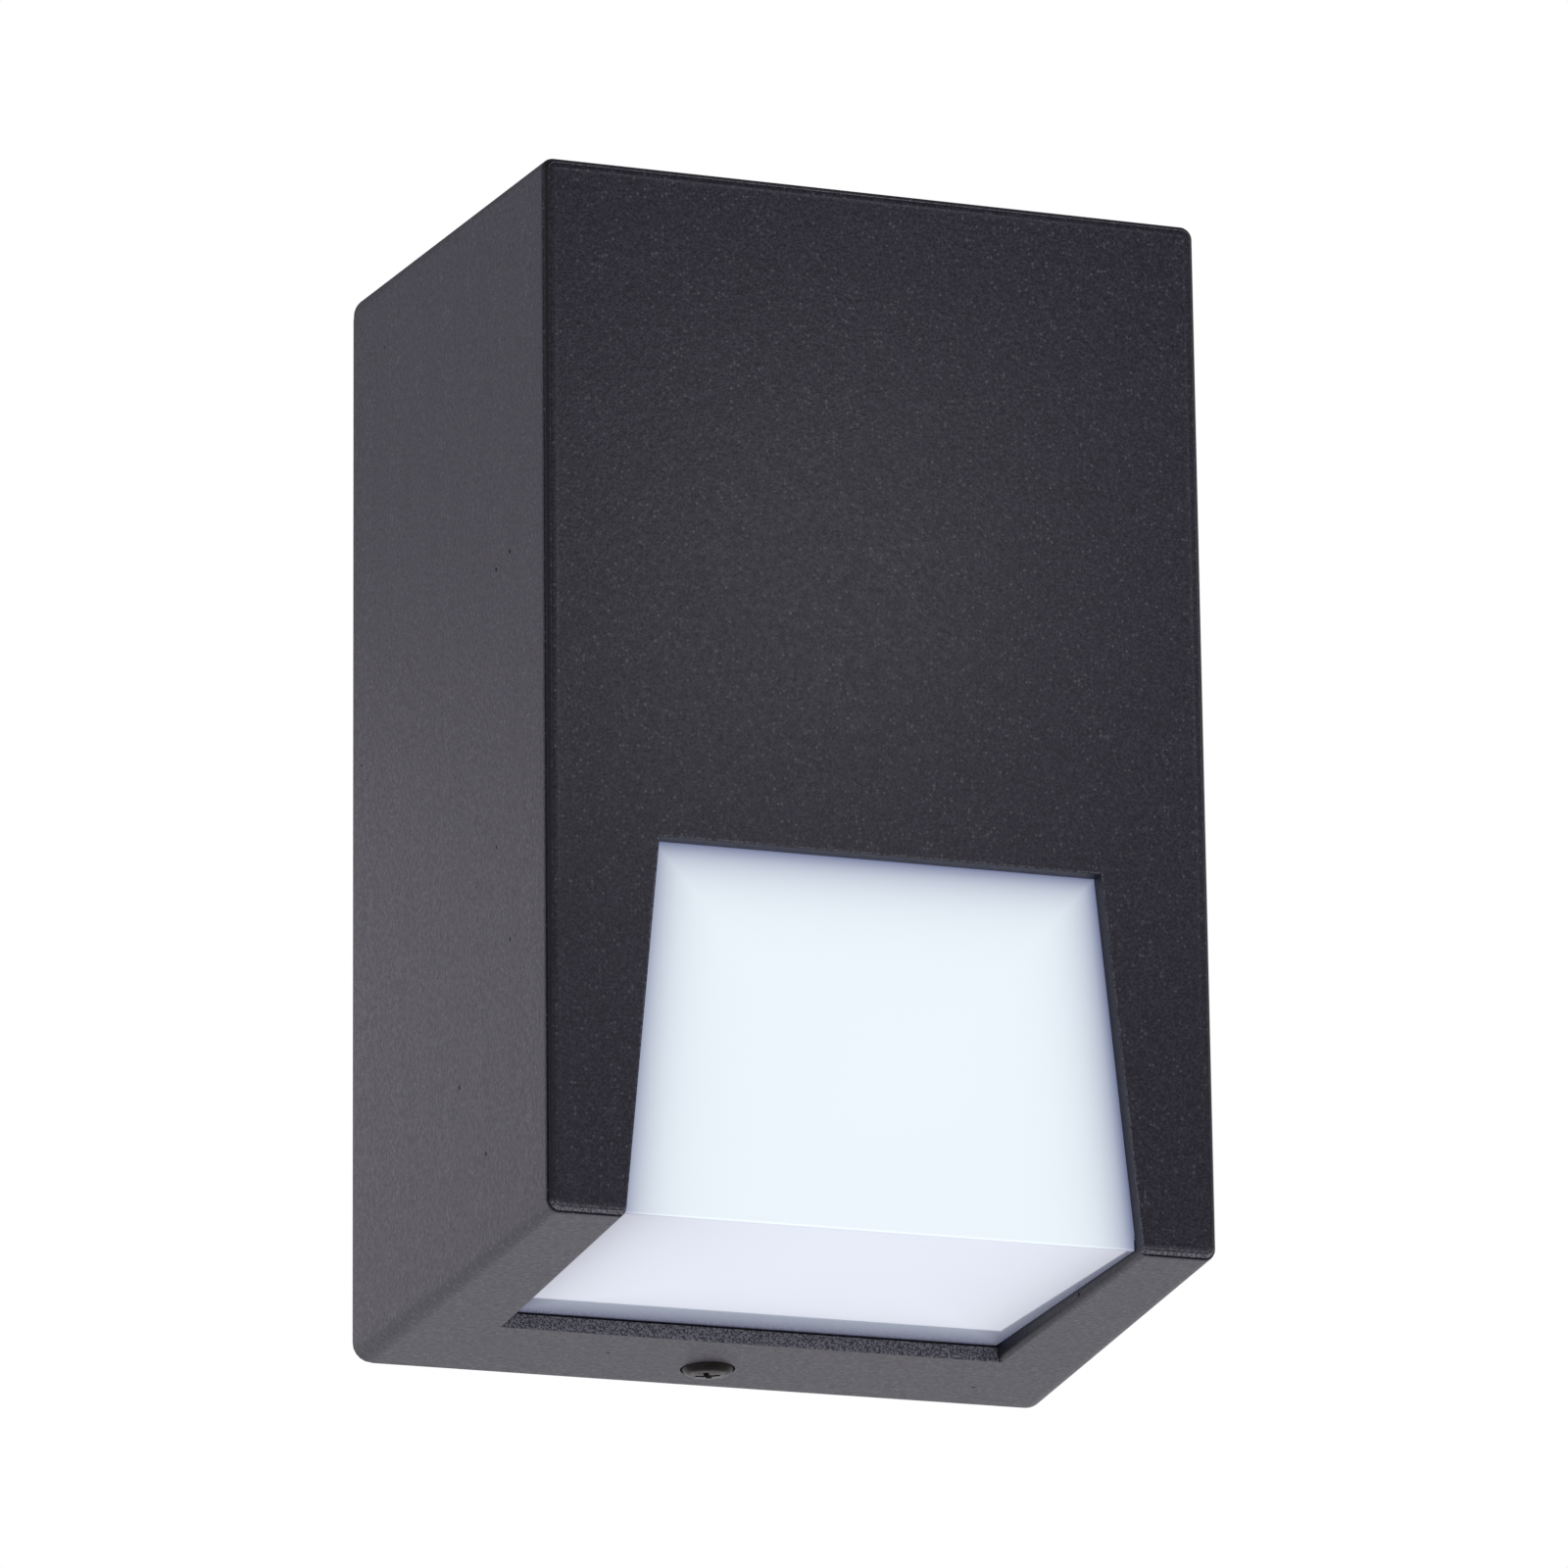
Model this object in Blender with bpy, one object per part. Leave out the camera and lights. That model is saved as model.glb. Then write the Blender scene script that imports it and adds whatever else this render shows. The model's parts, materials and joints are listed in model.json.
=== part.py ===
"""Outdoor wall lantern: a die-cast box that slides onto a wall bracket, with a window that wraps
from the front into the floor, closed by an L-shaped opal diffuser lit by an LED board inside.

Frame: the wall is the plane y = 0, the front looks along -Y, +Z is up, and the origin is the
middle of the wall bracket's back. Lengths are in metres, written as millimetres times MM.
"""

import math

import bmesh
import bpy
from mathutils import Matrix, Vector

MM = 0.001
GAP = 0.3 * MM  # clearance between pieces that touch on the real object
OVERLAP = 0.5 * MM  # how far a cast feature is sunk into the wall that carries it

# Housing: the walls draft outwards from the front face to the rear rim.
RIM_Y = -1.5 * MM
DEPTH = 78.1 * MM
FRONT_Y = RIM_Y - DEPTH
FRONT_HALF = (49.15 * MM, 76.3 * MM)
RIM_HALF = (53.0 * MM, 80.55 * MM)
CORNER_RADIUS = (2.1 * MM, 3.25 * MM)  # at the front and at the rim
FRONT_EDGE_RADIUS = 1.5 * MM
SIDE_WALL = 2.1 * MM
FRONT_WALL = 2.7 * MM
INNER_FRONT_Y = FRONT_Y + FRONT_WALL

# Window in the front face and the floor.
WINDOW_TOP_HALF = 32.75 * MM
WINDOW_TOP_Z = -21.85 * MM
WINDOW_FLOOR_HALF = 38.0 * MM
WINDOW_REAR_HALF = 37.3 * MM
WINDOW_REAR_Y = FRONT_Y + 55.8 * MM

# Ledge inside the housing that carries the rear cover.
LEDGE_Y = (-21.6 * MM, -18.6 * MM)
LEDGE_HALF = (41.5 * MM, 66.0 * MM)

# Rear cover and its gasket.
COVER_Y = (-17.0 * MM, -15.0 * MM)
COVER_HALF = (48.8 * MM, 70.2 * MM)
COVER_SCREW = (44.4 * MM, 62.0 * MM)

# Diffuser: a flanged tub with a raised face that fills the window.
FACE_RECESS = 2.9 * MM
FACE_Y = FRONT_Y + FACE_RECESS
FLANGE_STEP = 1.2 * MM
DIFFUSER_WALL = 2.0 * MM
DIFFUSER_HALF = 41.0 * MM
DIFFUSER_TOP_Z = -17.5 * MM
DIFFUSER_REAR_Y = LEDGE_Y[0] - GAP
FACE_FRONT_Z = -75.2 * MM  # lowest edge of the diffuser, at its front
FACE_REAR_Z = -77.0 * MM  # the same surface at the window's rear edge

# Wall bracket.
PLATE = 1.5 * MM
BRACKET_HALF = (30.0 * MM, 75.9 * MM)
EAR_HALF = 8.2 * MM
EAR_FRONT_Y = -14.2 * MM
TONGUE_HALF = 12.0 * MM
TONGUE_FRONT_Y = -12.0 * MM
SLOT_Z = 58.0 * MM
SLOT_HALF = (2.5 * MM, 6.0 * MM)
CABLE_Z = -36.0 * MM

# Securing screw through the floor of the housing.
SCREW_X = -2.2 * MM
SCREW_Y = RIM_Y - 8.8 * MM
SCREW_RADIUS = 2.0 * MM
SCREW_HEAD_RADIUS = 3.8 * MM
SPOT_FACE_DEPTH = 2.2 * MM
WASHER_THICKNESS = 0.7 * MM
SCREW_LENGTH = 12.0 * MM
BOSS_TOP_Z = -76.2 * MM
EAR_Z = (-75.9 * MM, -74.4 * MM)
NUT_Z = (-74.1 * MM, -70.9 * MM)
NUT_HALF_DEPTH = 4.4 * MM

# Places of the cast bosses, as (x, z); each exists on the left and on the right.
PILLAR = (34.0 * MM, -6.0 * MM)
PILLAR_END_Y = -28.3 * MM
CLIP_BOSS = (16.0 * MM, -6.0 * MM)
CLIP_BOSS_END_Y = -73.9 * MM
DRIVER_BOSS = (37.0 * MM, 40.0 * MM)
DRIVER_BOSS_END_Y = -69.0 * MM
PILOT_RADIUS = 1.6 * MM
M3_RADIUS = 1.3 * MM

# LED tray and board.
TRAY_Z = (-14.9 * MM, -12.9 * MM)
TRAY_Y = (-70.5 * MM, -26.0 * MM)
TRAY_HALF = 38.0 * MM
BOARD_X = (-34.0 * MM, 34.0 * MM)
BOARD_Y = (-68.5 * MM, -29.0 * MM)
BOARD_Z = (-16.8 * MM, -15.2 * MM)
BOARD_SCREW = (29.0 * MM, -49.0 * MM)  # (x, y), on the left and on the right
LED_X = (-24.0 * MM, -8.0 * MM, 8.0 * MM, 24.0 * MM)
LED_Y = (-60.0 * MM, -38.0 * MM)

# Driver, in the upper half of the housing.
CASE_LOW = Vector((-32.0, -76.2, 14.0)) * MM
CASE_HIGH = Vector((32.0, -54.0, 66.0)) * MM
CASE_WALL = 1.6 * MM
MAINS_ENTRY = (6.0 * MM, 46.0 * MM)
LED_EXIT = (4.0 * MM, -66.0 * MM)

# Terminal block on the back of the rear cover.
TERMINAL_LOW = Vector((-15.0, -14.7, -14.0)) * MM
TERMINAL_HIGH = Vector((15.0, -5.5, 3.0)) * MM
POLE_X = (-10.0 * MM, 0.0, 10.0 * MM)
POLE_Y = -11.0 * MM
POLE_SCREW_Z = -5.5 * MM
FIXING_X = 5.0 * MM

LEAD_GROMMET_Z = 30.0 * MM
LEAD_RADIUS = 1.1 * MM
EARTH_POINT = (30.0 * MM, 18.0 * MM)
BRACKET_EARTH = (-20.0 * MM, 30.0 * MM)

SIDES = (-1, 1)
SIDE_NAMES = {-1: "left", 1: "right"}


# ---------------------------------------------------------------- scene and materials


def clear_scene():
    for obj in list(bpy.data.objects):
        bpy.data.objects.remove(obj)


def finish(name, colour, roughness, metallic=0.0):
    """A plain Principled material."""
    material = bpy.data.materials.new(name)
    material.use_nodes = True
    shader = material.node_tree.nodes["Principled BSDF"]
    shader.inputs["Base Color"].default_value = (*colour, 1.0)
    shader.inputs["Roughness"].default_value = roughness
    shader.inputs["Metallic"].default_value = metallic
    material.diffuse_color = (*colour, 1.0)
    return material


def make_finishes():
    return {
        "housing": finish("anthracite_powder_coat", (0.035, 0.035, 0.04), 0.55),
        "opal": finish("opal_plastic", (0.88, 0.9, 0.92), 0.12),
        "rubber": finish("black_rubber", (0.02, 0.02, 0.02), 0.8),
        "zinc": finish("zinc_plated_steel", (0.62, 0.63, 0.64), 0.35, 1.0),
        "aluminium": finish("plain_aluminium", (0.7, 0.71, 0.72), 0.4, 1.0),
        "screw": finish("dark_screw_steel", (0.1, 0.09, 0.085), 0.45, 1.0),
        "brass": finish("brass", (0.7, 0.55, 0.25), 0.35, 1.0),
        "white": finish("white_plastic", (0.85, 0.85, 0.83), 0.45),
        "board_white": finish("white_board", (0.82, 0.84, 0.82), 0.4),
        "board_green": finish("green_board", (0.03, 0.2, 0.08), 0.4),
        "phosphor": finish("led_phosphor", (0.9, 0.75, 0.2), 0.3),
        "core": finish("transformer_tape", (0.75, 0.6, 0.1), 0.6),
        "sleeve": finish("capacitor_sleeve", (0.05, 0.06, 0.12), 0.35),
        "brown": finish("brown_insulation", (0.2, 0.09, 0.04), 0.5),
        "blue": finish("blue_insulation", (0.04, 0.13, 0.45), 0.5),
        "green": finish("green_insulation", (0.1, 0.42, 0.1), 0.5),
        "red": finish("red_insulation", (0.5, 0.04, 0.03), 0.5),
        "black": finish("black_insulation", (0.02, 0.02, 0.02), 0.5),
    }


# ---------------------------------------------------------------- shapes added to a bmesh


def put_box(bm, low, high):
    matrix = Matrix.Translation((Vector(low) + Vector(high)) / 2)
    size = Vector(high) - Vector(low)
    bmesh.ops.create_cube(bm, size=1.0, matrix=matrix @ Matrix.Diagonal((*size, 1.0)))


def put_rod(bm, start, end, radius, sides=20):
    start, end = Vector(start), Vector(end)
    turn = (end - start).to_track_quat("Z", "Y").to_matrix().to_4x4()
    matrix = Matrix.Translation((start + end) / 2) @ turn
    bmesh.ops.create_cone(
        bm, cap_ends=True, segments=sides, radius1=radius, radius2=radius,
        depth=(end - start).length, matrix=matrix,
    )


def put_rings(bm, rings, closed):
    """Quads between rings of points. Open: both ends are capped. Closed: the last meets the first."""
    loops = [[bm.verts.new(point) for point in ring] for ring in rings]
    pairs = list(zip(loops, loops[1:] + loops[:1]))
    for near, far in pairs if closed else pairs[:-1]:
        for i in range(len(near)):
            j = (i + 1) % len(near)
            bm.faces.new((near[i], near[j], far[j], far[i]))
    if not closed:
        bm.faces.new(loops[0])
        bm.faces.new(loops[-1])
    bmesh.ops.recalc_face_normals(bm, faces=bm.faces)


def put_turned(bm, profile, centre, axis, sides=20):
    """A turned body. The profile is (radius, height) from one end to the other, none on the axis."""
    turn = Vector(axis).to_track_quat("Z", "Y").to_matrix()
    angles = [2 * math.pi * i / sides for i in range(sides)]
    rings = []
    for radius, height in profile:
        circle = [Vector((radius * math.cos(a), radius * math.sin(a), height)) for a in angles]
        rings.append([Vector(centre) + turn @ point for point in circle])
    put_rings(bm, rings, closed=False)


def put_hollow_turned(bm, profile, centre, axis, sides=24):
    """A turned ring: the profile is a closed loop that stays clear of the axis."""
    turn = Vector(axis).to_track_quat("Z", "Y").to_matrix()
    angles = [2 * math.pi * i / sides for i in range(sides)]
    rings = []
    for radius, height in profile:
        circle = [Vector((radius * math.cos(a), radius * math.sin(a), height)) for a in angles]
        rings.append([Vector(centre) + turn @ point for point in circle])
    put_rings(bm, rings, closed=True)


def put_prism(bm, outline, low, high, axis):
    """Extrudes an outline along X ("x": outline is y, z) or along Y ("y": outline is x, z)."""

    def place(first, second, along):
        return Vector((along, first, second)) if axis == "x" else Vector((first, along, second))

    put_rings(bm, [[place(a, b, along) for a, b in outline] for along in (low, high)], closed=False)


def rounded_rectangle(half_x, half_z, radius, steps=5):
    """Points (x, z) round a rectangle with arcs at its corners, anticlockwise."""
    points = []
    for corner, (sx, sz) in enumerate(((1, 1), (-1, 1), (-1, -1), (1, -1))):
        for step in range(steps + 1):
            angle = math.radians(90 * corner + 90 * step / steps)
            x = sx * (half_x - radius) + radius * math.cos(angle)
            z = sz * (half_z - radius) + radius * math.sin(angle)
            points.append((x, z))
    return points


def put_plate(bm, half, radius, low_y, high_y):
    put_prism(bm, rounded_rectangle(half[0], half[1], radius), low_y, high_y, "y")


def put_frame(bm, outer, inner, radius, low_y, high_y):
    """A flat rectangular ring, such as a gasket."""
    wide = rounded_rectangle(outer[0], outer[1], radius)
    narrow = rounded_rectangle(inner[0], inner[1], max(radius - outer[0] + inner[0], 0.4 * MM))
    loop = ((wide, low_y), (wide, high_y), (narrow, high_y), (narrow, low_y))
    put_rings(bm, [[Vector((x, y, z)) for x, z in outline] for outline, y in loop], closed=True)


# ---------------------------------------------------------------- objects


def link(name, data, material):
    obj = bpy.data.objects.new(name, data)
    bpy.context.scene.collection.objects.link(obj)
    if material is not None and not data.materials:
        data.materials.append(material)
    return obj


def new_piece(name, material, build):
    """An object from a function that fills a bmesh."""
    bm = bmesh.new()
    build(bm)
    mesh = bpy.data.meshes.new(name)
    bm.to_mesh(mesh)
    bm.free()
    return link(name, mesh, material)


def new_helper(name, build):
    """A hidden shape that a Boolean reads."""
    obj = new_piece(name, None, build)
    obj.hide_render = True
    obj.display_type = "WIRE"
    return obj


def combine(obj, operation, helper):
    modifier = obj.modifiers.new(helper.name, "BOOLEAN")
    modifier.operation = operation
    modifier.solver = "EXACT"
    modifier.object = helper


def cut(obj, name, build):
    combine(obj, "DIFFERENCE", new_helper(name, build))


def join(obj, name, build):
    combine(obj, "UNION", new_helper(name, build))


def round_edges(obj, width, segments=1):
    modifier = obj.modifiers.new("edges", "BEVEL")
    modifier.width = width
    modifier.segments = segments
    modifier.limit_method = "ANGLE"
    modifier.angle_limit = math.radians(40)


def baked_mesh(obj):
    """The evaluated mesh of an object, which is then removed with its helpers."""
    graph = bpy.context.evaluated_depsgraph_get()
    mesh = bpy.data.meshes.new_from_object(obj.evaluated_get(graph))
    helpers = [m.object for m in obj.modifiers if m.type == "BOOLEAN"]
    for used in [obj, *helpers]:
        bpy.data.objects.remove(used)
    mesh.set_sharp_from_angle(angle=math.radians(35))
    return mesh


def put_cross(bm, width, reach, low, high):
    """The cross recess of a screw head, as one plus-shaped prism along Z."""
    quarter = ((width, width), (width, reach), (-width, reach))
    outline = []
    for turn in range(4):
        angle = math.radians(90 * turn)
        for x, y in quarter[1:]:
            outline.append((x * math.cos(angle) - y * math.sin(angle),
                            x * math.sin(angle) + y * math.cos(angle)))
        x, y = -width, width
        outline.append((x * math.cos(angle) - y * math.sin(angle),
                        x * math.sin(angle) + y * math.cos(angle)))
    put_rings(bm, [[Vector((x, y, z)) for x, y in outline] for z in (low, high)], closed=False)


def screw_mesh(name, radius, length, head_radius, head_height, material, sides):
    """A pan-head screw along Z: the head's underside is z = 0, and the shank runs down."""
    rim = head_height * 0.3
    dome = [
        (head_radius * math.cos(angle), rim + (head_height - rim) * math.sin(angle))
        for angle in (math.radians(a) for a in (0, 40, 72))
    ]
    profile = [(radius * 0.55, -length), (radius, -length + radius * 0.6), (radius, 0.0),
               (head_radius, 0.0), *dome]
    screw = new_piece(name, material, lambda bm: put_turned(bm, profile, (0, 0, 0), (0, 0, 1), sides))
    arm = head_radius * 0.13
    cut(screw, name + "_recess",
        lambda bm: put_cross(bm, arm, head_radius * 0.55, head_height * 0.35, head_height * 1.5))
    return baked_mesh(screw)


def place_screw(name, mesh, point, head_direction):
    """Puts a screw with its head's underside at the point, the head facing head_direction."""
    screw = link(name, mesh, None)
    screw.location = point
    screw.rotation_euler = Vector(head_direction).to_track_quat("Z", "Y").to_euler()
    return screw


# ---------------------------------------------------------------- housing


def outer_half(y):
    """Half width and half height of the housing's outside at a depth."""
    share = (RIM_Y - y) / DEPTH
    return tuple(rim + (front - rim) * share for rim, front in zip(RIM_HALF, FRONT_HALF))


def corner_radius(y):
    share = (RIM_Y - y) / DEPTH
    return CORNER_RADIUS[1] + (CORNER_RADIUS[0] - CORNER_RADIUS[1]) * share


def floor_z(y):
    """Inside of the housing's floor."""
    return -outer_half(y)[1] + SIDE_WALL


def housing_ring(y, inset, half=None):
    """A ring of the housing at a depth, inset from its outside, or of a stated half size."""
    width, height = half or (size - inset for size in outer_half(y))
    radius = max(corner_radius(y) - inset, 1.2 * MM)
    return [Vector((x, y, z)) for x, z in rounded_rectangle(width, height, radius)]


def put_housing_shell(bm):
    edge_steps = 4
    bend_y = FRONT_Y + FRONT_EDGE_RADIUS
    rings = [housing_ring(RIM_Y, 0.0)]
    for step in range(edge_steps + 1):
        angle = math.radians(90 * step / edge_steps)
        rings.append(housing_ring(bend_y - FRONT_EDGE_RADIUS * math.sin(angle),
                                  FRONT_EDGE_RADIUS * (1 - math.cos(angle))))
    outside = [[bm.verts.new(point) for point in ring] for ring in rings]
    rings = [
        housing_ring(RIM_Y, SIDE_WALL),
        housing_ring(LEDGE_Y[1], SIDE_WALL),
        housing_ring(LEDGE_Y[1], 0.0, LEDGE_HALF),
        housing_ring(LEDGE_Y[0], 0.0, LEDGE_HALF),
        housing_ring(LEDGE_Y[0], SIDE_WALL),
        housing_ring(INNER_FRONT_Y, SIDE_WALL),
    ]
    inside = [[bm.verts.new(point) for point in ring] for ring in rings]
    for near, far in [*zip(outside, outside[1:]), (outside[0], inside[0]), *zip(inside, inside[1:])]:
        for i in range(len(near)):
            j = (i + 1) % len(near)
            bm.faces.new((near[i], near[j], far[j], far[i]))
    bm.faces.new(outside[-1])
    bm.faces.new(inside[-1])
    bmesh.ops.recalc_face_normals(bm, faces=bm.faces)


def put_window(bm):
    """The window's cutter: a trapezoid over a straight skirt, narrowing a little towards the rear."""
    beyond_front = FRONT_Y - 6 * MM
    below = -90.0 * MM
    rear_share = WINDOW_REAR_HALF / WINDOW_FLOOR_HALF
    front_z = -FRONT_HALF[1]
    right = [(WINDOW_TOP_HALF, WINDOW_TOP_Z), (WINDOW_FLOOR_HALF, front_z), (WINDOW_FLOOR_HALF, below)]
    outline = right + [(-x, z) for x, z in reversed(right)]
    near = [Vector((x, beyond_front, z)) for x, z in outline]
    middle = [Vector((x, FRONT_Y, z)) for x, z in outline]
    far = [Vector((x * rear_share, WINDOW_REAR_Y, z)) for x, z in outline]
    put_rings(bm, [near, middle, far], closed=False)


def put_bosses(bm):
    """Pillars, bosses and guide ribs cast inside the housing; none touches another."""
    root_y = INNER_FRONT_Y - OVERLAP
    for side in SIDES:
        for (x, z), end_y, radius in (
            (PILLAR, PILLAR_END_Y, 3.6 * MM),
            (CLIP_BOSS, CLIP_BOSS_END_Y, 3.1 * MM),
            (DRIVER_BOSS, DRIVER_BOSS_END_Y, 3.1 * MM),
        ):
            put_rod(bm, (side * x, root_y, z), (side * x, end_y, z), radius)
        put_guide_rib(bm, side, EAR_HALF, -79.0 * MM, NUT_Z[1] + 0.6 * MM)
        put_guide_rib(bm, side, TONGUE_HALF, 73.0 * MM, 79.0 * MM)
    put_rod(bm, (SCREW_X, SCREW_Y, -78.9 * MM), (SCREW_X, SCREW_Y, BOSS_TOP_Z), 5.4 * MM)


def put_guide_rib(bm, side, inner_x, low_z, high_z):
    """A rib along the depth that keeps the bracket's ear, the nut or the tongue from turning."""
    near, far = inner_x + GAP, inner_x + GAP + 2 * MM
    low_x, high_x = sorted((side * near, side * far))
    put_box(bm, (low_x, -14.6 * MM, low_z), (high_x, -3.0 * MM, high_z))


def put_drillings(bm):
    """Every pilot and through hole of the housing, and the spot face under the securing screw."""
    for side in SIDES:
        for (x, z), end_y, depth in (
            (PILLAR, PILLAR_END_Y, 10 * MM),
            (CLIP_BOSS, CLIP_BOSS_END_Y, 3.8 * MM),
            (DRIVER_BOSS, DRIVER_BOSS_END_Y, 8.2 * MM),
        ):
            put_rod(bm, (side * x, end_y - depth, z), (side * x, end_y + 2 * MM, z), PILOT_RADIUS, 12)
        for end in SIDES:
            x, z = side * COVER_SCREW[0], end * COVER_SCREW[1]
            put_rod(bm, (x, LEDGE_Y[0] - 2 * MM, z), (x, LEDGE_Y[1] + 2 * MM, z), 1.6 * MM, 12)
    face_z = -outer_half(SCREW_Y)[1]
    seat_z = face_z + SPOT_FACE_DEPTH
    hole, spot = SCREW_RADIUS + 0.35 * MM, SCREW_HEAD_RADIUS + 0.25 * MM
    profile = [(spot, face_z - 3 * MM), (spot, seat_z), (hole, seat_z), (hole, BOSS_TOP_Z + 3 * MM)]
    put_turned(bm, profile, (SCREW_X, SCREW_Y, 0), (0, 0, 1), 28)


def make_housing(finishes):
    housing = new_piece("housing", finishes["housing"], put_housing_shell)
    cut(housing, "window_cutter", put_window)
    join(housing, "cast_bosses", put_bosses)
    cut(housing, "drillings", put_drillings)


def make_wall_gasket(finishes):
    outer = tuple(size - 0.5 * MM for size in RIM_HALF)
    inner = tuple(size - SIDE_WALL for size in RIM_HALF)
    radius = CORNER_RADIUS[1] - 0.5 * MM
    new_piece("wall_gasket", finishes["rubber"],
              lambda bm: put_frame(bm, outer, inner, radius, RIM_Y + GAP, 0.0))


# ---------------------------------------------------------------- diffuser


def flange_z(y):
    """Underside of the diffuser's flange, above the floor by the seal's room."""
    return floor_z(y) + FLANGE_STEP


def put_diffuser_tub(bm):
    front_y = FACE_Y + FLANGE_STEP
    outline = [
        (front_y, DIFFUSER_TOP_Z), (front_y, flange_z(front_y)),
        (DIFFUSER_REAR_Y, flange_z(DIFFUSER_REAR_Y)), (DIFFUSER_REAR_Y, DIFFUSER_TOP_Z),
    ]
    put_prism(bm, outline, -DIFFUSER_HALF, DIFFUSER_HALF, "x")


def put_front_face(bm):
    """The raised face behind the front of the window, one millimetre larger than it."""
    margin = 1.0 * MM
    low_z = flange_z(FACE_Y) + 0.1 * MM
    right = [(WINDOW_TOP_HALF + margin, WINDOW_TOP_Z + margin), (WINDOW_FLOOR_HALF + margin, low_z)]
    outline = right + [(-x, z) for x, z in reversed(right)]
    put_prism(bm, outline, FACE_Y, FACE_Y + FLANGE_STEP + OVERLAP, "y")


def put_floor_face(bm):
    """The raised face in the floor of the window; it narrows and deepens towards the rear."""
    clearance = 0.4 * MM
    rear_y = WINDOW_REAR_Y - clearance
    top_z = floor_z(FACE_Y) + FLANGE_STEP + OVERLAP
    front_half = WINDOW_FLOOR_HALF - clearance
    rear_half = WINDOW_REAR_HALF - clearance
    rings = []
    for y, half, low_z, high_z in (
        (FACE_Y, front_half, FACE_FRONT_Z, top_z),
        (rear_y, rear_half, FACE_REAR_Z, flange_z(rear_y) + OVERLAP),
    ):
        rings.append([Vector(p) for p in ((-half, y, low_z), (half, y, low_z),
                                          (half, y, high_z), (-half, y, high_z))])
    put_rings(bm, rings, closed=False)


def put_clip_lip(bm):
    """A lip above the tub that the two clips press on."""
    front_y = FACE_Y + FLANGE_STEP + 0.2 * MM
    put_box(bm, (-24 * MM, front_y, -19.0 * MM), (24 * MM, front_y + 1.7 * MM, -12.6 * MM))


def put_tub_hollow(bm):
    inner_front = FACE_Y + FLANGE_STEP + DIFFUSER_WALL
    beyond = DIFFUSER_REAR_Y + 4 * MM
    above = DIFFUSER_TOP_Z + 0.01 * MM + 9 * MM
    outline = [
        (inner_front, above), (inner_front, flange_z(inner_front) + DIFFUSER_WALL),
        (beyond, flange_z(beyond) + DIFFUSER_WALL), (beyond, above),
    ]
    inner_half = DIFFUSER_HALF - DIFFUSER_WALL
    put_prism(bm, outline, -inner_half, inner_half, "x")


def make_diffuser(finishes):
    diffuser = new_piece("diffuser", finishes["opal"], put_diffuser_tub)
    join(diffuser, "front_face", put_front_face)
    join(diffuser, "floor_face", put_floor_face)
    join(diffuser, "clip_lip", put_clip_lip)
    cut(diffuser, "tub_hollow", put_tub_hollow)


def put_front_seal(bm):
    """The part of the seal behind the front wall, open at its foot."""
    top_z = DIFFUSER_TOP_Z - GAP
    foot_z = floor_z(FACE_Y) + GAP
    outer = DIFFUSER_HALF - GAP
    inner_top = (WINDOW_TOP_HALF + 1.3 * MM, WINDOW_TOP_Z + 1.3 * MM)
    inner_foot = (WINDOW_FLOOR_HALF + 1.3 * MM, foot_z)
    outline = [
        (outer, foot_z), (outer, top_z), (-outer, top_z), (-outer, foot_z),
        (-inner_foot[0], foot_z), (-inner_top[0], inner_top[1]),
        inner_top, inner_foot,
    ]
    put_prism(bm, outline, FACE_Y, FACE_Y + FLANGE_STEP - GAP, "y")


def put_floor_seal(bm):
    """The part of the seal on the floor: a U that is open at the front."""
    front_y = FACE_Y + 0.2 * MM
    rear_y = DIFFUSER_REAR_Y
    outer, inner = DIFFUSER_HALF - GAP, WINDOW_FLOOR_HALF + GAP
    bar_y = WINDOW_REAR_Y + 0.4 * MM
    outline = [(-outer, front_y), (-inner, front_y), (-inner, bar_y), (inner, bar_y),
               (inner, front_y), (outer, front_y), (outer, rear_y), (-outer, rear_y)]
    low = [Vector((x, y, floor_z(y) + GAP)) for x, y in outline]
    high = [Vector((x, y, flange_z(y) - GAP)) for x, y in outline]
    put_rings(bm, [low, high], closed=False)


def make_diffuser_seal(finishes):
    seal = new_piece("diffuser_seal", finishes["rubber"], put_floor_seal)
    join(seal, "front_seal", put_front_seal)


def make_diffuser_clips(finishes, screw):
    """Two steel straps, screwed to bosses on the front wall, that hold the diffuser's lip."""
    back_of_lip = FACE_Y + FLANGE_STEP + 1.9 * MM
    low_y = back_of_lip + GAP
    high_y = low_y + 0.8 * MM
    for side in SIDES:
        x, z = side * CLIP_BOSS[0], CLIP_BOSS[1]
        half = 5.0 * MM

        def put_strap(bm, x=x):
            put_box(bm, (x - half, low_y, -15.4 * MM), (x + half, high_y, -1.6 * MM))

        clip = new_piece(f"diffuser_clip_{SIDE_NAMES[side]}", finishes["zinc"], put_strap)
        cut(clip, f"clip_hole_{SIDE_NAMES[side]}",
            lambda bm, x=x: put_rod(bm, (x, low_y - 3 * MM, z), (x, high_y + 3 * MM, z), 1.7 * MM, 16))
        place_screw(f"clip_screw_{SIDE_NAMES[side]}", screw, (x, high_y + GAP, z), (0, 1, 0))


# ---------------------------------------------------------------- light unit


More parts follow.
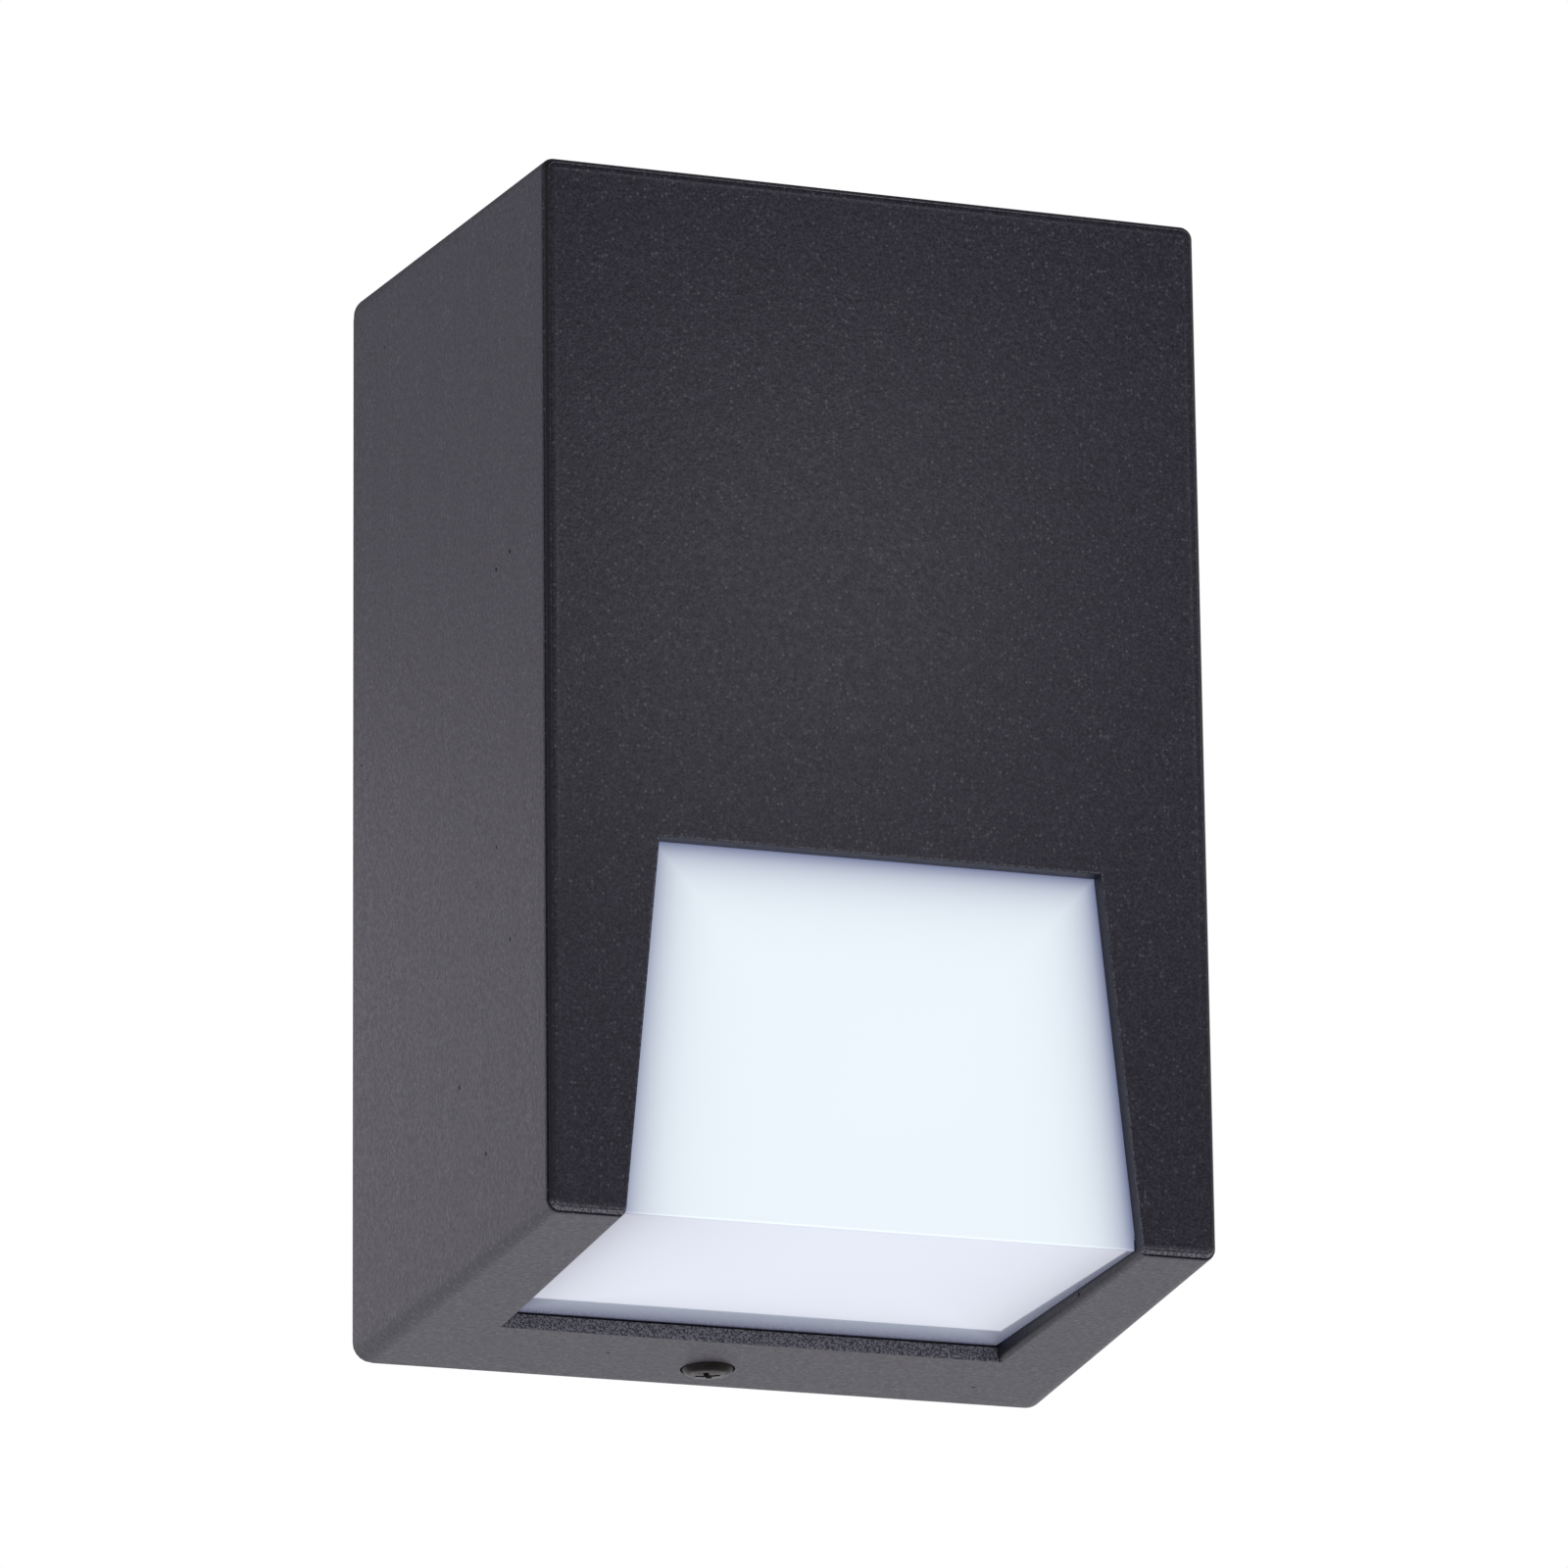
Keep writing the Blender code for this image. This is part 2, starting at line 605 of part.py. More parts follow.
def make_reflector(finishes):
    """White sheet that closes the tub's back and turns forward at its foot."""
    back_y, face_y = -22.6 * MM, -24.1 * MM
    foot_y = -34.0 * MM
    foot_rise = flange_z(foot_y) + DIFFUSER_WALL + GAP
    back_rise = flange_z(back_y) + DIFFUSER_WALL + GAP
    sheet = 1.5 * MM
    outline = [
        (back_y, -18.2 * MM), (face_y, -18.2 * MM), (face_y, back_rise + sheet),
        (foot_y, foot_rise + sheet), (foot_y, foot_rise), (back_y, back_rise),
    ]
    half = DIFFUSER_HALF - DIFFUSER_WALL - GAP
    new_piece("reflector", finishes["white"], lambda bm: put_prism(bm, outline, -half, half, "x"))


def put_tray(bm):
    """A plate with its rear edge turned up."""
    flange = 2.0 * MM
    rear = TRAY_Y[1]
    outline = [
        (TRAY_Y[0], TRAY_Z[0]), (rear, TRAY_Z[0]), (rear, -1.0 * MM),
        (rear - flange, -1.0 * MM), (rear - flange, TRAY_Z[1]), (TRAY_Y[0], TRAY_Z[1]),
    ]
    put_prism(bm, outline, -TRAY_HALF, TRAY_HALF, "x")


def put_tray_openings(bm):
    """Screw holes in the upright, pilot holes for the board, and the slot for the LED leads."""
    rear = TRAY_Y[1]
    for side in SIDES:
        x, z = side * PILLAR[0], PILLAR[1]
        put_rod(bm, (x, rear - 5 * MM, z), (x, rear + 3 * MM, z), 1.7 * MM, 16)
        x, y = side * BOARD_SCREW[0], BOARD_SCREW[1]
        put_rod(bm, (x, y, TRAY_Z[0] - 2 * MM), (x, y, TRAY_Z[1] + 2 * MM), PILOT_RADIUS, 12)
    put_box(bm, (-7 * MM, -66.5 * MM, TRAY_Z[0] - 2 * MM), (7 * MM, -61.5 * MM, TRAY_Z[1] + 2 * MM))


def make_light_unit(finishes, screw, board_screw):
    tray = new_piece("led_tray", finishes["aluminium"], put_tray)
    cut(tray, "tray_openings", put_tray_openings)

    def put_board(bm):
        (low_x, high_x), (low_y, high_y) = BOARD_X, BOARD_Y
        put_box(bm, (low_x, low_y, BOARD_Z[0]), (high_x, high_y, BOARD_Z[1]))

    def put_board_holes(bm):
        for side in SIDES:
            x, y = side * BOARD_SCREW[0], BOARD_SCREW[1]
            put_rod(bm, (x, y, BOARD_Z[0] - 2 * MM), (x, y, BOARD_Z[1] + 2 * MM), 1.7 * MM, 16)

    board = new_piece("led_board", finishes["board_white"], put_board)

    cut(board, "board_holes", put_board_holes)
    for side in SIDES:
        name = SIDE_NAMES[side]
        place_screw(f"tray_screw_{name}", screw,
                    (side * PILLAR[0], TRAY_Y[1] + GAP, PILLAR[1]), (0, 1, 0))
        place_screw(f"board_screw_{name}", board_screw,
                    (side * BOARD_SCREW[0], BOARD_SCREW[1], BOARD_Z[0] - GAP), (0, 0, -1))
    make_leds(finishes)


def make_leds(finishes):
    """Square LED packages on the underside of the board."""
    half, height = 2.5 * MM, 1.2 * MM
    top = BOARD_Z[0] - GAP
    places = [(x, y) for y in LED_Y for x in LED_X]
    for number, (x, y) in enumerate(places, start=1):
        led = new_piece(f"led_{number}", finishes["phosphor"],
                        lambda bm, x=x, y=y: put_box(bm, (x - half, y - half, top - height),
                                                     (x + half, y + half, top)))
        round_edges(led, 0.3 * MM)


# ---------------------------------------------------------------- driver


def put_case(bm):
    put_box(bm, CASE_LOW, CASE_HIGH)


def put_case_ears(bm):
    for side in SIDES:
        inner, outer = CASE_HIGH.x - OVERLAP, DRIVER_BOSS[0] + 3.6 * MM
        low_x, high_x = sorted((side * inner, side * outer))
        put_box(bm, (low_x, DRIVER_BOSS_END_Y + GAP, DRIVER_BOSS[1] - 5 * MM),
                (high_x, DRIVER_BOSS_END_Y + GAP + 2 * MM, DRIVER_BOSS[1] + 5 * MM))


def put_case_hollow(bm):
    wall = Vector((CASE_WALL, CASE_WALL, CASE_WALL))
    high = Vector((CASE_HIGH.x - CASE_WALL, CASE_HIGH.y + 4 * MM, CASE_HIGH.z - CASE_WALL))
    put_box(bm, CASE_LOW + wall, high)


def put_case_holes(bm):
    """Ear holes, and the exits of the LED leads through the case's lower wall."""
    for side in SIDES:
        x, z = side * DRIVER_BOSS[0], DRIVER_BOSS[1]
        y = DRIVER_BOSS_END_Y
        put_rod(bm, (x, y - 3 * MM, z), (x, y + 5 * MM, z), 1.7 * MM, 16)
        x, y = side * LED_EXIT[0], LED_EXIT[1]
        put_rod(bm, (x, y, CASE_LOW.z - 2 * MM), (x, y, CASE_LOW.z + 4 * MM), 1.2 * MM, 12)


def make_driver(finishes, screw):
    case = new_piece("driver_case", finishes["white"], put_case)
    join(case, "case_ears", put_case_ears)
    cut(case, "case_hollow", put_case_hollow)
    cut(case, "case_holes", put_case_holes)
    low_y = CASE_HIGH.y + GAP

    def put_cover(bm):
        put_box(bm, (CASE_LOW.x, low_y, CASE_LOW.z), (CASE_HIGH.x, low_y + 1.8 * MM, CASE_HIGH.z))

    def put_entries(bm):
        for side in SIDES:
            x, z = side * MAINS_ENTRY[0], MAINS_ENTRY[1]
            put_rod(bm, (x, low_y - 2 * MM, z), (x, low_y + 4 * MM, z), 1.5 * MM, 16)

    cover = new_piece("driver_cover", finishes["white"], put_cover)
    round_edges(cover, 0.5 * MM)
    cut(cover, "mains_entries", put_entries)
    for side in SIDES:
        point = (side * DRIVER_BOSS[0], DRIVER_BOSS_END_Y + 2 * GAP + 2 * MM, DRIVER_BOSS[1])
        place_screw(f"driver_screw_{SIDE_NAMES[side]}", screw, point, (0, 1, 0))
    make_driver_board(finishes)


def make_driver_board(finishes):
    board_y = (-73.5 * MM, -71.9 * MM)
    new_piece("driver_board", finishes["board_green"],
              lambda bm: put_box(bm, (-29.5 * MM, board_y[0], 18 * MM), (29.5 * MM, board_y[1], 62 * MM)))
    part_y = board_y[1] + GAP
    transformer = new_piece("transformer", finishes["core"],
                            lambda bm: put_box(bm, (-26 * MM, part_y, 24 * MM), (-9 * MM, -61 * MM, 42 * MM)))
    round_edges(transformer, 1.0 * MM)
    foot = Vector((18 * MM, part_y, 30 * MM))
    profile = [(4.6 * MM, 0.0), (5.0 * MM, 0.5 * MM), (5.0 * MM, 14.5 * MM), (4.4 * MM, 15 * MM)]
    new_piece("capacitor", finishes["sleeve"], lambda bm: put_turned(bm, profile, foot, (0, 1, 0)))


# ---------------------------------------------------------------- rear cover and wiring


def put_cover_holes(bm):
    """Holes of the rear cover: four screws, the grommet, the earth screw, the terminal block."""
    holes = [(x * COVER_SCREW[0], z * COVER_SCREW[1], 1.8 * MM) for x in SIDES for z in SIDES]
    holes.append((0.0, LEAD_GROMMET_Z, 5.0 * MM))
    holes.append((EARTH_POINT[0], EARTH_POINT[1], 2.3 * MM))
    holes += [(side * FIXING_X, POLE_SCREW_Z, 1.5 * MM) for side in SIDES]
    for x, z, radius in holes:
        put_rod(bm, (x, COVER_Y[0] - 3 * MM, z), (x, COVER_Y[1] + 3 * MM, z), radius)


def make_rear_cover(finishes, screw):
    cover = new_piece("rear_cover", finishes["aluminium"],
                      lambda bm: put_plate(bm, COVER_HALF, 2.5 * MM, *COVER_Y))
    cut(cover, "cover_holes", put_cover_holes)
    outer = tuple(size - 0.3 * MM for size in COVER_HALF)
    inner = tuple(size - 2.4 * MM for size in COVER_HALF)
    new_piece("rear_cover_gasket", finishes["rubber"],
              lambda bm: put_frame(bm, outer, inner, 2.5 * MM, LEDGE_Y[1] + GAP, COVER_Y[0] - GAP))
    corners = [(x, z) for z in (1, -1) for x in SIDES]
    for number, (x, z) in enumerate(corners, start=1):
        point = (x * COVER_SCREW[0], COVER_Y[1] + GAP, z * COVER_SCREW[1])
        place_screw(f"cover_screw_{number}", screw, point, (0, 1, 0))


def grommet_profile(hole, plate, bore, lip):
    """A grommet's closed profile (radius, height) round a plate that spans 0 to plate."""
    flange = hole + lip
    neck = hole - GAP
    thick = 1.2 * MM
    return [
        (bore, -thick - GAP), (flange, -thick - GAP), (flange, -GAP), (neck, -GAP),
        (neck, plate + GAP), (flange, plate + GAP), (flange, plate + GAP + thick),
        (bore, plate + GAP + thick),
    ]


def make_lead_grommet(finishes):
    profile = grommet_profile(5.0 * MM, COVER_Y[1] - COVER_Y[0], 3.4 * MM, 1.6 * MM)
    new_piece("lead_grommet", finishes["rubber"],
              lambda bm: put_hollow_turned(bm, profile, (0, COVER_Y[0], LEAD_GROMMET_Z), (0, 1, 0)))


def put_terminal_openings(bm):
    """Screw wells from the back, and the holes for the two fixing screws."""
    low_y, high_y = TERMINAL_LOW.y, TERMINAL_HIGH.y
    for side in SIDES:
        x = side * FIXING_X
        put_rod(bm, (x, low_y - 2 * MM, POLE_SCREW_Z), (x, high_y + 2 * MM, POLE_SCREW_Z), 1.5 * MM, 12)
    for x in POLE_X:
        put_rod(bm, (x, POLE_Y - 0.4 * MM, POLE_SCREW_Z), (x, high_y + 2 * MM, POLE_SCREW_Z), 2.0 * MM, 16)


def put_wire_ways(bm):
    low_z, high_z = TERMINAL_LOW.z - 2 * MM, TERMINAL_HIGH.z + 2 * MM
    for x in POLE_X:
        put_rod(bm, (x, POLE_Y, low_z), (x, POLE_Y, high_z), 1.6 * MM, 16)


def make_terminal_block(finishes, clamp_screw, fixing_screw):
    block = new_piece("terminal_block", finishes["white"],
                      lambda bm: put_box(bm, TERMINAL_LOW, TERMINAL_HIGH))
    round_edges(block, 0.8 * MM)
    cut(block, "wire_ways", put_wire_ways)
    cut(block, "terminal_openings", put_terminal_openings)
    for number, x in enumerate(POLE_X, start=1):
        point = (x, TERMINAL_HIGH.y - 2 * MM, POLE_SCREW_Z)
        place_screw(f"terminal_screw_{number}", clamp_screw, point, (0, 1, 0))
    for side in SIDES:
        place_screw(f"terminal_fixing_{SIDE_NAMES[side]}", fixing_screw,
                    (side * FIXING_X, TERMINAL_HIGH.y + GAP, POLE_SCREW_Z), (0, 1, 0))


def clamp_screw_mesh(material):
    """A headless terminal screw with one slot, 3.6 mm across, its end at z = 0."""
    radius, low, high = 1.65 * MM, -0.9 * MM, 1.6 * MM
    screw = new_piece("clamp_screw", material,
                      lambda bm: put_rod(bm, (0, 0, low), (0, 0, high), radius, 16))
    cut(screw, "clamp_slot",
        lambda bm: put_box(bm, (-3 * MM, -0.3 * MM, high - 0.7 * MM), (3 * MM, 0.3 * MM, high + 2 * MM)))
    return baked_mesh(screw)


def smooth_route(points, steps=2):
    """A Catmull-Rom curve through the route's points, a few points to each stretch."""
    ends = [2 * points[0] - points[1], *points, 2 * points[-1] - points[-2]]
    route = []
    for before, start, end, after in zip(ends, ends[1:], ends[2:], ends[3:]):
        for step in range(steps):
            t = step / steps
            route.append(0.5 * (2 * start + t * (end - before)
                                + t * t * (2 * before - 5 * start + 4 * end - after)
                                + t ** 3 * (3 * start - before - 3 * end + after)))
    return [*route, points[-1]]


def make_lead(name, material, radius, route):
    """An insulated wire along a route given in millimetres."""
    curve = bpy.data.curves.new(name, "CURVE")
    curve.dimensions = "3D"
    curve.bevel_depth = radius
    curve.bevel_resolution = 2
    curve.use_fill_caps = True
    points = smooth_route([Vector(point) * MM for point in route])
    spline = curve.splines.new("POLY")
    spline.points.add(len(points) - 1)
    for target, point in zip(spline.points, points):
        target.co = (*point, 1.0)
    link(name, curve, material)


def make_leads(finishes):
    """Mains leads from the terminals to the driver, the earth lead to its lug, and the LED leads."""
    live = [(-10, -11, 0), (-10, -11, 6), (-8.5, -10, 14), (-5, -9, 22), (-2.4, -9.5, 27.5),
            (-1.6, -13, 30), (-1.6, -18.5, 30.4), (-2.5, -28, 33), (-4.6, -39, 40), (-6, -48, 45),
            (-6, -53, 46), (-6, -59, 46)]
    neutral = [(0, -11, 0), (0, -11, 6), (0.6, -10.4, 14), (1.2, -9.6, 22), (1.5, -10, 27.5),
               (1.6, -13, 29.9), (1.6, -18.5, 30.4), (2.5, -28, 33), (4.6, -39, 40), (6, -48, 45),
               (6, -53, 46), (6, -59, 46)]
    earth = [(10, -11, 0), (10, -11, 5), (10.8, -10.8, 10), (13, -11, 14.2), (17, -12, 17.2),
             (20.5, -12.6, 18), (23.6, -12.6, 18)]
    make_lead("lead_live", finishes["brown"], LEAD_RADIUS, live)
    make_lead("lead_neutral", finishes["blue"], LEAD_RADIUS, neutral)
    make_lead("lead_earth", finishes["green"], LEAD_RADIUS, earth)
    for side, name, material in ((-1, "led_lead_minus", "black"), (1, "led_lead_plus", "red")):
        route = [(side * 4, -66, 19), (side * 4, -66, 12), (side * 4, -65.6, 5), (side * 3.6, -64.6, -3),
                 (side * 3.2, -64, -9), (side * 3.2, -64, -14.8)]
        make_lead(name, finishes[material], 0.8 * MM, route)


def make_earth_point(finishes, screw):
    """The ring lug on the earth lead and the screw that holds it to the rear cover."""
    x, z = EARTH_POINT
    low_y = COVER_Y[1] + GAP
    high_y = low_y + 0.8 * MM
    barrel_y = low_y + 2.1 * MM

    def put_ring(bm):
        put_rod(bm, (x, low_y, z), (x, high_y, z), 5.0 * MM, 24)

    def put_barrel(bm):
        put_rod(bm, (x - 8.8 * MM, barrel_y, z), (x - 4.0 * MM, barrel_y, z), 2.0 * MM, 16)

    def put_bores(bm):
        put_rod(bm, (x, low_y - 3 * MM, z), (x, high_y + 6 * MM, z), 2.3 * MM, 20)
        put_rod(bm, (x - 12 * MM, barrel_y, z), (x - 5.4 * MM, barrel_y, z), 1.4 * MM, 16)

    lug = new_piece("earth_lug", finishes["zinc"], put_ring)
    join(lug, "lug_barrel", put_barrel)
    cut(lug, "lug_bores", put_bores)
    place_screw("earth_screw", screw, (x, high_y + GAP, z), (0, 1, 0))


# ---------------------------------------------------------------- wall bracket


def put_bracket_openings(bm):
    for end in SIDES:
        outline = rounded_rectangle(SLOT_HALF[1], SLOT_HALF[0], SLOT_HALF[0] - 0.05 * MM)
        put_prism(bm, [(x, z + end * SLOT_Z) for x, z in outline], -4 * MM, 2 * MM, "y")
    put_rod(bm, (0, -4 * MM, CABLE_Z), (0, 2 * MM, CABLE_Z), 8.0 * MM, 32)
    x, z = BRACKET_EARTH
    put_rod(bm, (x, -4 * MM, z), (x, 2 * MM, z), 2.3 * MM)


def put_fork_slot(bm):
    """The slot for the screw's shank, round at its rear end and open at the front."""
    half = SCREW_RADIUS + 0.35 * MM
    steps = 8
    arc = [(SCREW_X + half * math.cos(math.pi * i / steps), SCREW_Y + half * math.sin(math.pi * i / steps))
           for i in range(steps + 1)]
    outline = [*arc, (SCREW_X - half, EAR_FRONT_Y - 3 * MM), (SCREW_X + half, EAR_FRONT_Y - 3 * MM)]
    low_z, high_z = EAR_Z[0] - 2 * MM, EAR_Z[1] + 2 * MM
    put_rings(bm, [[Vector((x, y, z)) for x, y in outline] for z in (low_z, high_z)], closed=False)


def make_bracket(finishes):
    """A plate with a forked ear at its foot and a locating tongue at its head, both bent forward."""
    bracket = new_piece("wall_bracket", finishes["zinc"],
                        lambda bm: put_plate(bm, BRACKET_HALF, 4 * MM, -PLATE, 0.0))
    fold_y = -PLATE + OVERLAP
    join(bracket, "forked_ear",
         lambda bm: put_box(bm, (-EAR_HALF, EAR_FRONT_Y, EAR_Z[0]), (EAR_HALF, fold_y, EAR_Z[1])))
    join(bracket, "tongue",
         lambda bm: put_box(bm, (-TONGUE_HALF, TONGUE_FRONT_Y, -EAR_Z[1]), (TONGUE_HALF, fold_y, -EAR_Z[0])))
    cut(bracket, "bracket_openings", put_bracket_openings)
    cut(bracket, "fork_slot", put_fork_slot)


def make_bracket_trim(finishes, screw):
    """The rubber grommet of the supply cable, and the bracket's earth screw with its washer."""
    profile = [
        (4.6 * MM, -1.5 * MM), (9.6 * MM, -1.5 * MM), (9.6 * MM, -GAP), (7.7 * MM, -GAP),
        (7.7 * MM, PLATE - 0.1 * MM), (4.6 * MM, PLATE - 0.1 * MM),
    ]
    new_piece("cable_grommet", finishes["rubber"],
              lambda bm: put_hollow_turned(bm, profile, (0, -PLATE, CABLE_Z), (0, 1, 0), 32))
    x, z = BRACKET_EARTH
    front_y = -PLATE - GAP
    profile = [(2.3 * MM, 0.0), (4.5 * MM, 0.0), (4.5 * MM, 0.8 * MM), (2.3 * MM, 0.8 * MM)]
    new_piece("bracket_earth_washer", finishes["brass"],
              lambda bm: put_hollow_turned(bm, profile, (x, front_y, z), (0, -1, 0)))
    place_screw("bracket_earth_screw", screw, (x, front_y - 0.8 * MM - GAP, z), (0, -1, 0))


# ---------------------------------------------------------------- securing screw


def make_securing_screw(finishes):
    """The screw under the floor, its washer, and the nut that it draws onto the bracket's ear."""
    face_z = -outer_half(SCREW_Y)[1]
    washer_top = face_z + SPOT_FACE_DEPTH - GAP
    head_z = washer_top - WASHER_THICKNESS - GAP
    screw = screw_mesh("securing_screw_shape", SCREW_RADIUS, SCREW_LENGTH, SCREW_HEAD_RADIUS,
                       2.0 * MM, finishes["screw"], sides=28)
    place_screw("securing_screw", screw, (SCREW_X, SCREW_Y, head_z), (0, 0, -1))

    def put_washer(bm):
        inner, outer = SCREW_RADIUS + GAP, SCREW_HEAD_RADIUS
        low, high = washer_top - WASHER_THICKNESS, washer_top
        profile = [(inner, low), (outer, low), (outer, high), (inner, high)]
        put_hollow_turned(bm, profile, (0, 0, 0), (0, 0, 1), 28)

    washer = new_piece("sealing_washer", finishes["rubber"], put_washer)
    washer.location = (SCREW_X, SCREW_Y, 0)

    def put_nut(bm):
        put_box(bm, (-EAR_HALF, SCREW_Y - NUT_HALF_DEPTH, NUT_Z[0]),
                (EAR_HALF, SCREW_Y + NUT_HALF_DEPTH, NUT_Z[1]))

    def put_nut_bore(bm):
        start, end = (SCREW_X, SCREW_Y, NUT_Z[0] - 2 * MM), (SCREW_X, SCREW_Y, NUT_Z[1] + 2 * MM)
        put_rod(bm, start, end, SCREW_RADIUS + GAP)

    nut = new_piece("clamp_nut", finishes["zinc"], put_nut)
    round_edges(nut, 0.5 * MM)
    cut(nut, "nut_bore", put_nut_bore)


def main():
    clear_scene()
    finishes = make_finishes()
    zinc = finishes["zinc"]
    short = screw_mesh("short_screw", M3_RADIUS, 4.4 * MM, 2.7 * MM, 1.7 * MM, zinc, 10)
    medium = screw_mesh("medium_screw", M3_RADIUS, 8.0 * MM, 2.7 * MM, 1.7 * MM, zinc, 10)
    board_screw = screw_mesh("board_screw", M3_RADIUS, 3.8 * MM, 2.5 * MM, 1.3 * MM, zinc, 10)
    earth_screw = screw_mesh("earth_screw_shape", SCREW_RADIUS, 6.0 * MM, 3.6 * MM, 2.2 * MM,
                             finishes["brass"], 16)
    plate_screw = screw_mesh("plate_screw", SCREW_RADIUS, 2.4 * MM, 3.6 * MM, 2.2 * MM,
                             finishes["brass"], 16)
    fixing_screw = screw_mesh("fixing_screw", 1.2 * MM, 12.2 * MM, 2.1 * MM, 1.3 * MM, zinc, 10)
    clamp_screw = clamp_screw_mesh(finishes["brass"])

    make_housing(finishes)
    make_wall_gasket(finishes)
    make_diffuser(finishes)
    make_diffuser_seal(finishes)
    make_diffuser_clips(finishes, short)
    make_reflector(finishes)
    make_light_unit(finishes, medium, board_screw)
    make_driver(finishes, medium)
    make_rear_cover(finishes, medium)
    make_lead_grommet(finishes)
    make_terminal_block(finishes, clamp_screw, fixing_screw)
    make_earth_point(finishes, earth_screw)
    make_leads(finishes)
    make_bracket(finishes)
    make_bracket_trim(finishes, plate_screw)
    make_securing_screw(finishes)


main()
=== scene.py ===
"""Looks of the outdoor wall lantern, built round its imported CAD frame.

Frame: the wall is the plane y = 0, the front looks along -Y, and +Z is up. Lengths are in metres,
written as millimetres times MM.
"""

import json
import math

import bmesh
import bpy
import numpy as np
from mathutils import Matrix, Vector


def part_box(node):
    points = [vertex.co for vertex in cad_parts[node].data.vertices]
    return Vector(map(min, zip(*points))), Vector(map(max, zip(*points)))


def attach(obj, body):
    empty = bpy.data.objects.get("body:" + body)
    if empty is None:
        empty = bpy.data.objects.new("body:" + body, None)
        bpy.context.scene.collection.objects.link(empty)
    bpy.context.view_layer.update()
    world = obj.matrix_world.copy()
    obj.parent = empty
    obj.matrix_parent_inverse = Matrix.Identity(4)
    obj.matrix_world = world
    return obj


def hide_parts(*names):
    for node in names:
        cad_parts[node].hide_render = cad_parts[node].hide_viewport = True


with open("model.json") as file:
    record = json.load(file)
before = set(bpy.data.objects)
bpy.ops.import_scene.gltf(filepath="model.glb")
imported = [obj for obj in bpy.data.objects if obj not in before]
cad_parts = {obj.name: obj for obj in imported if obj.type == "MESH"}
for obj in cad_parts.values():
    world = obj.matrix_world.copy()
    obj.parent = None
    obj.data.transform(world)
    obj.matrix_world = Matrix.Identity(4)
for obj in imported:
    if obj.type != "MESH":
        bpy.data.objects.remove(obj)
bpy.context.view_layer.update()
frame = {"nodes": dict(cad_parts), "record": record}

MM = 0.001
NODES = frame["nodes"]

# Housing: the box of its node gives the outside, and the draft gives the front's smaller size.
HOUSING_LOW, HOUSING_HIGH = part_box("housing")
FRONT_Y, RIM_Y = HOUSING_LOW.y, HOUSING_HIGH.y
DEPTH = RIM_Y - FRONT_Y
RIM_HALF = (HOUSING_HIGH.x, HOUSING_HIGH.z)
FRONT_HALF = (RIM_HALF[0] - 3.85 * MM, RIM_HALF[1] - 4.25 * MM)
CORNER_RADIUS = (1.8 * MM, 3.25 * MM)  # at the front and at the rim
SMALLEST_CORNER = 0.4 * MM  # however far a ring is inset
SIDE_WALL = 2.1 * MM
FRONT_WALL = 2.7 * MM
EDGE_RADIUS = 1.5 * MM  # where the front meets the sides
RIM_RADIUS = 0.5 * MM  # where the sides meet the wall

# Window: a trapezoid in the front that goes on through the floor.
WINDOW_TOP_HALF = 32.75 * MM
WINDOW_TOP_Z = -21.85 * MM
WINDOW_FLOOR_HALF = 38.0 * MM
WINDOW_REAR_HALF = 37.3 * MM
WINDOW_REAR_Y = FRONT_Y + 55.8 * MM
FLARE_RADIUS = 0.9 * MM  # of the window's edges in the floor
WINDOW_CUT_Y = FRONT_Y - 6 * MM  # the cutter starts in front of the housing
WINDOW_CUT_Z = -90.0 * MM  # and ends below it

# Ledge inside the housing that the rear cover is screwed on.
LEDGE_Y = (-21.6 * MM, -18.6 * MM)
LEDGE_HALF = (41.5 * MM, 66.0 * MM)
COVER_SCREW_XZ = (44.4 * MM, 62.0 * MM)  # of the upper right screw

# Cast bosses on the right, each repeated on the left: (x, z), end's y, radius, drilled depth.
TRAY_PILLAR = ((34 * MM, -6 * MM), -28.3 * MM, 3.6 * MM, 10.0 * MM)
CLIP_BOSS = ((16 * MM, -6 * MM), -73.9 * MM, 3.1 * MM, 3.8 * MM)
DRIVER_BOSS = ((37 * MM, 40 * MM), -69.0 * MM, 3.1 * MM, 8.2 * MM)
BOSSES = (TRAY_PILLAR, CLIP_BOSS, DRIVER_BOSS)
PILOT_RADIUS = 1.6 * MM

# Guide ribs beside the bracket's ear and tongue: half the gap between two, low z and high z.
EAR_RIBS = (8.5 * MM, -79.0 * MM, -70.3 * MM)
TONGUE_RIBS = (12.3 * MM, 73.0 * MM, 79.0 * MM)
RIB_Y = (-14.6 * MM, -3.0 * MM)
RIB_WIDTH = 2 * MM

# How far a boss is sunk into its wall, and how far a drill goes past what it cuts.
ROOT = 0.5 * MM
OVERSHOOT = 2 * MM

# Diffuser: a tub with a raised face that shows in the window.
DIFFUSER_LOW, DIFFUSER_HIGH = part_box("diffuser")
FACE_Y = DIFFUSER_LOW.y
FLANGE_STEP = 1.2 * MM
DIFFUSER_WALL = 2.0 * MM
DIFFUSER_HALF = DIFFUSER_HIGH.x
DIFFUSER_TOP_Z = -17.5 * MM
DIFFUSER_REAR_Y = DIFFUSER_HIGH.y
FACE_FRONT_Z = -75.2 * MM
FACE_REAR_Z = DIFFUSER_LOW.z
OVERLAP = 0.5 * MM  # how far the raised faces are sunk into the tub
LIP_HALF = 24 * MM
LIP_LOW_Z = -19.0 * MM
LIP_WIDTH = 1.7 * MM

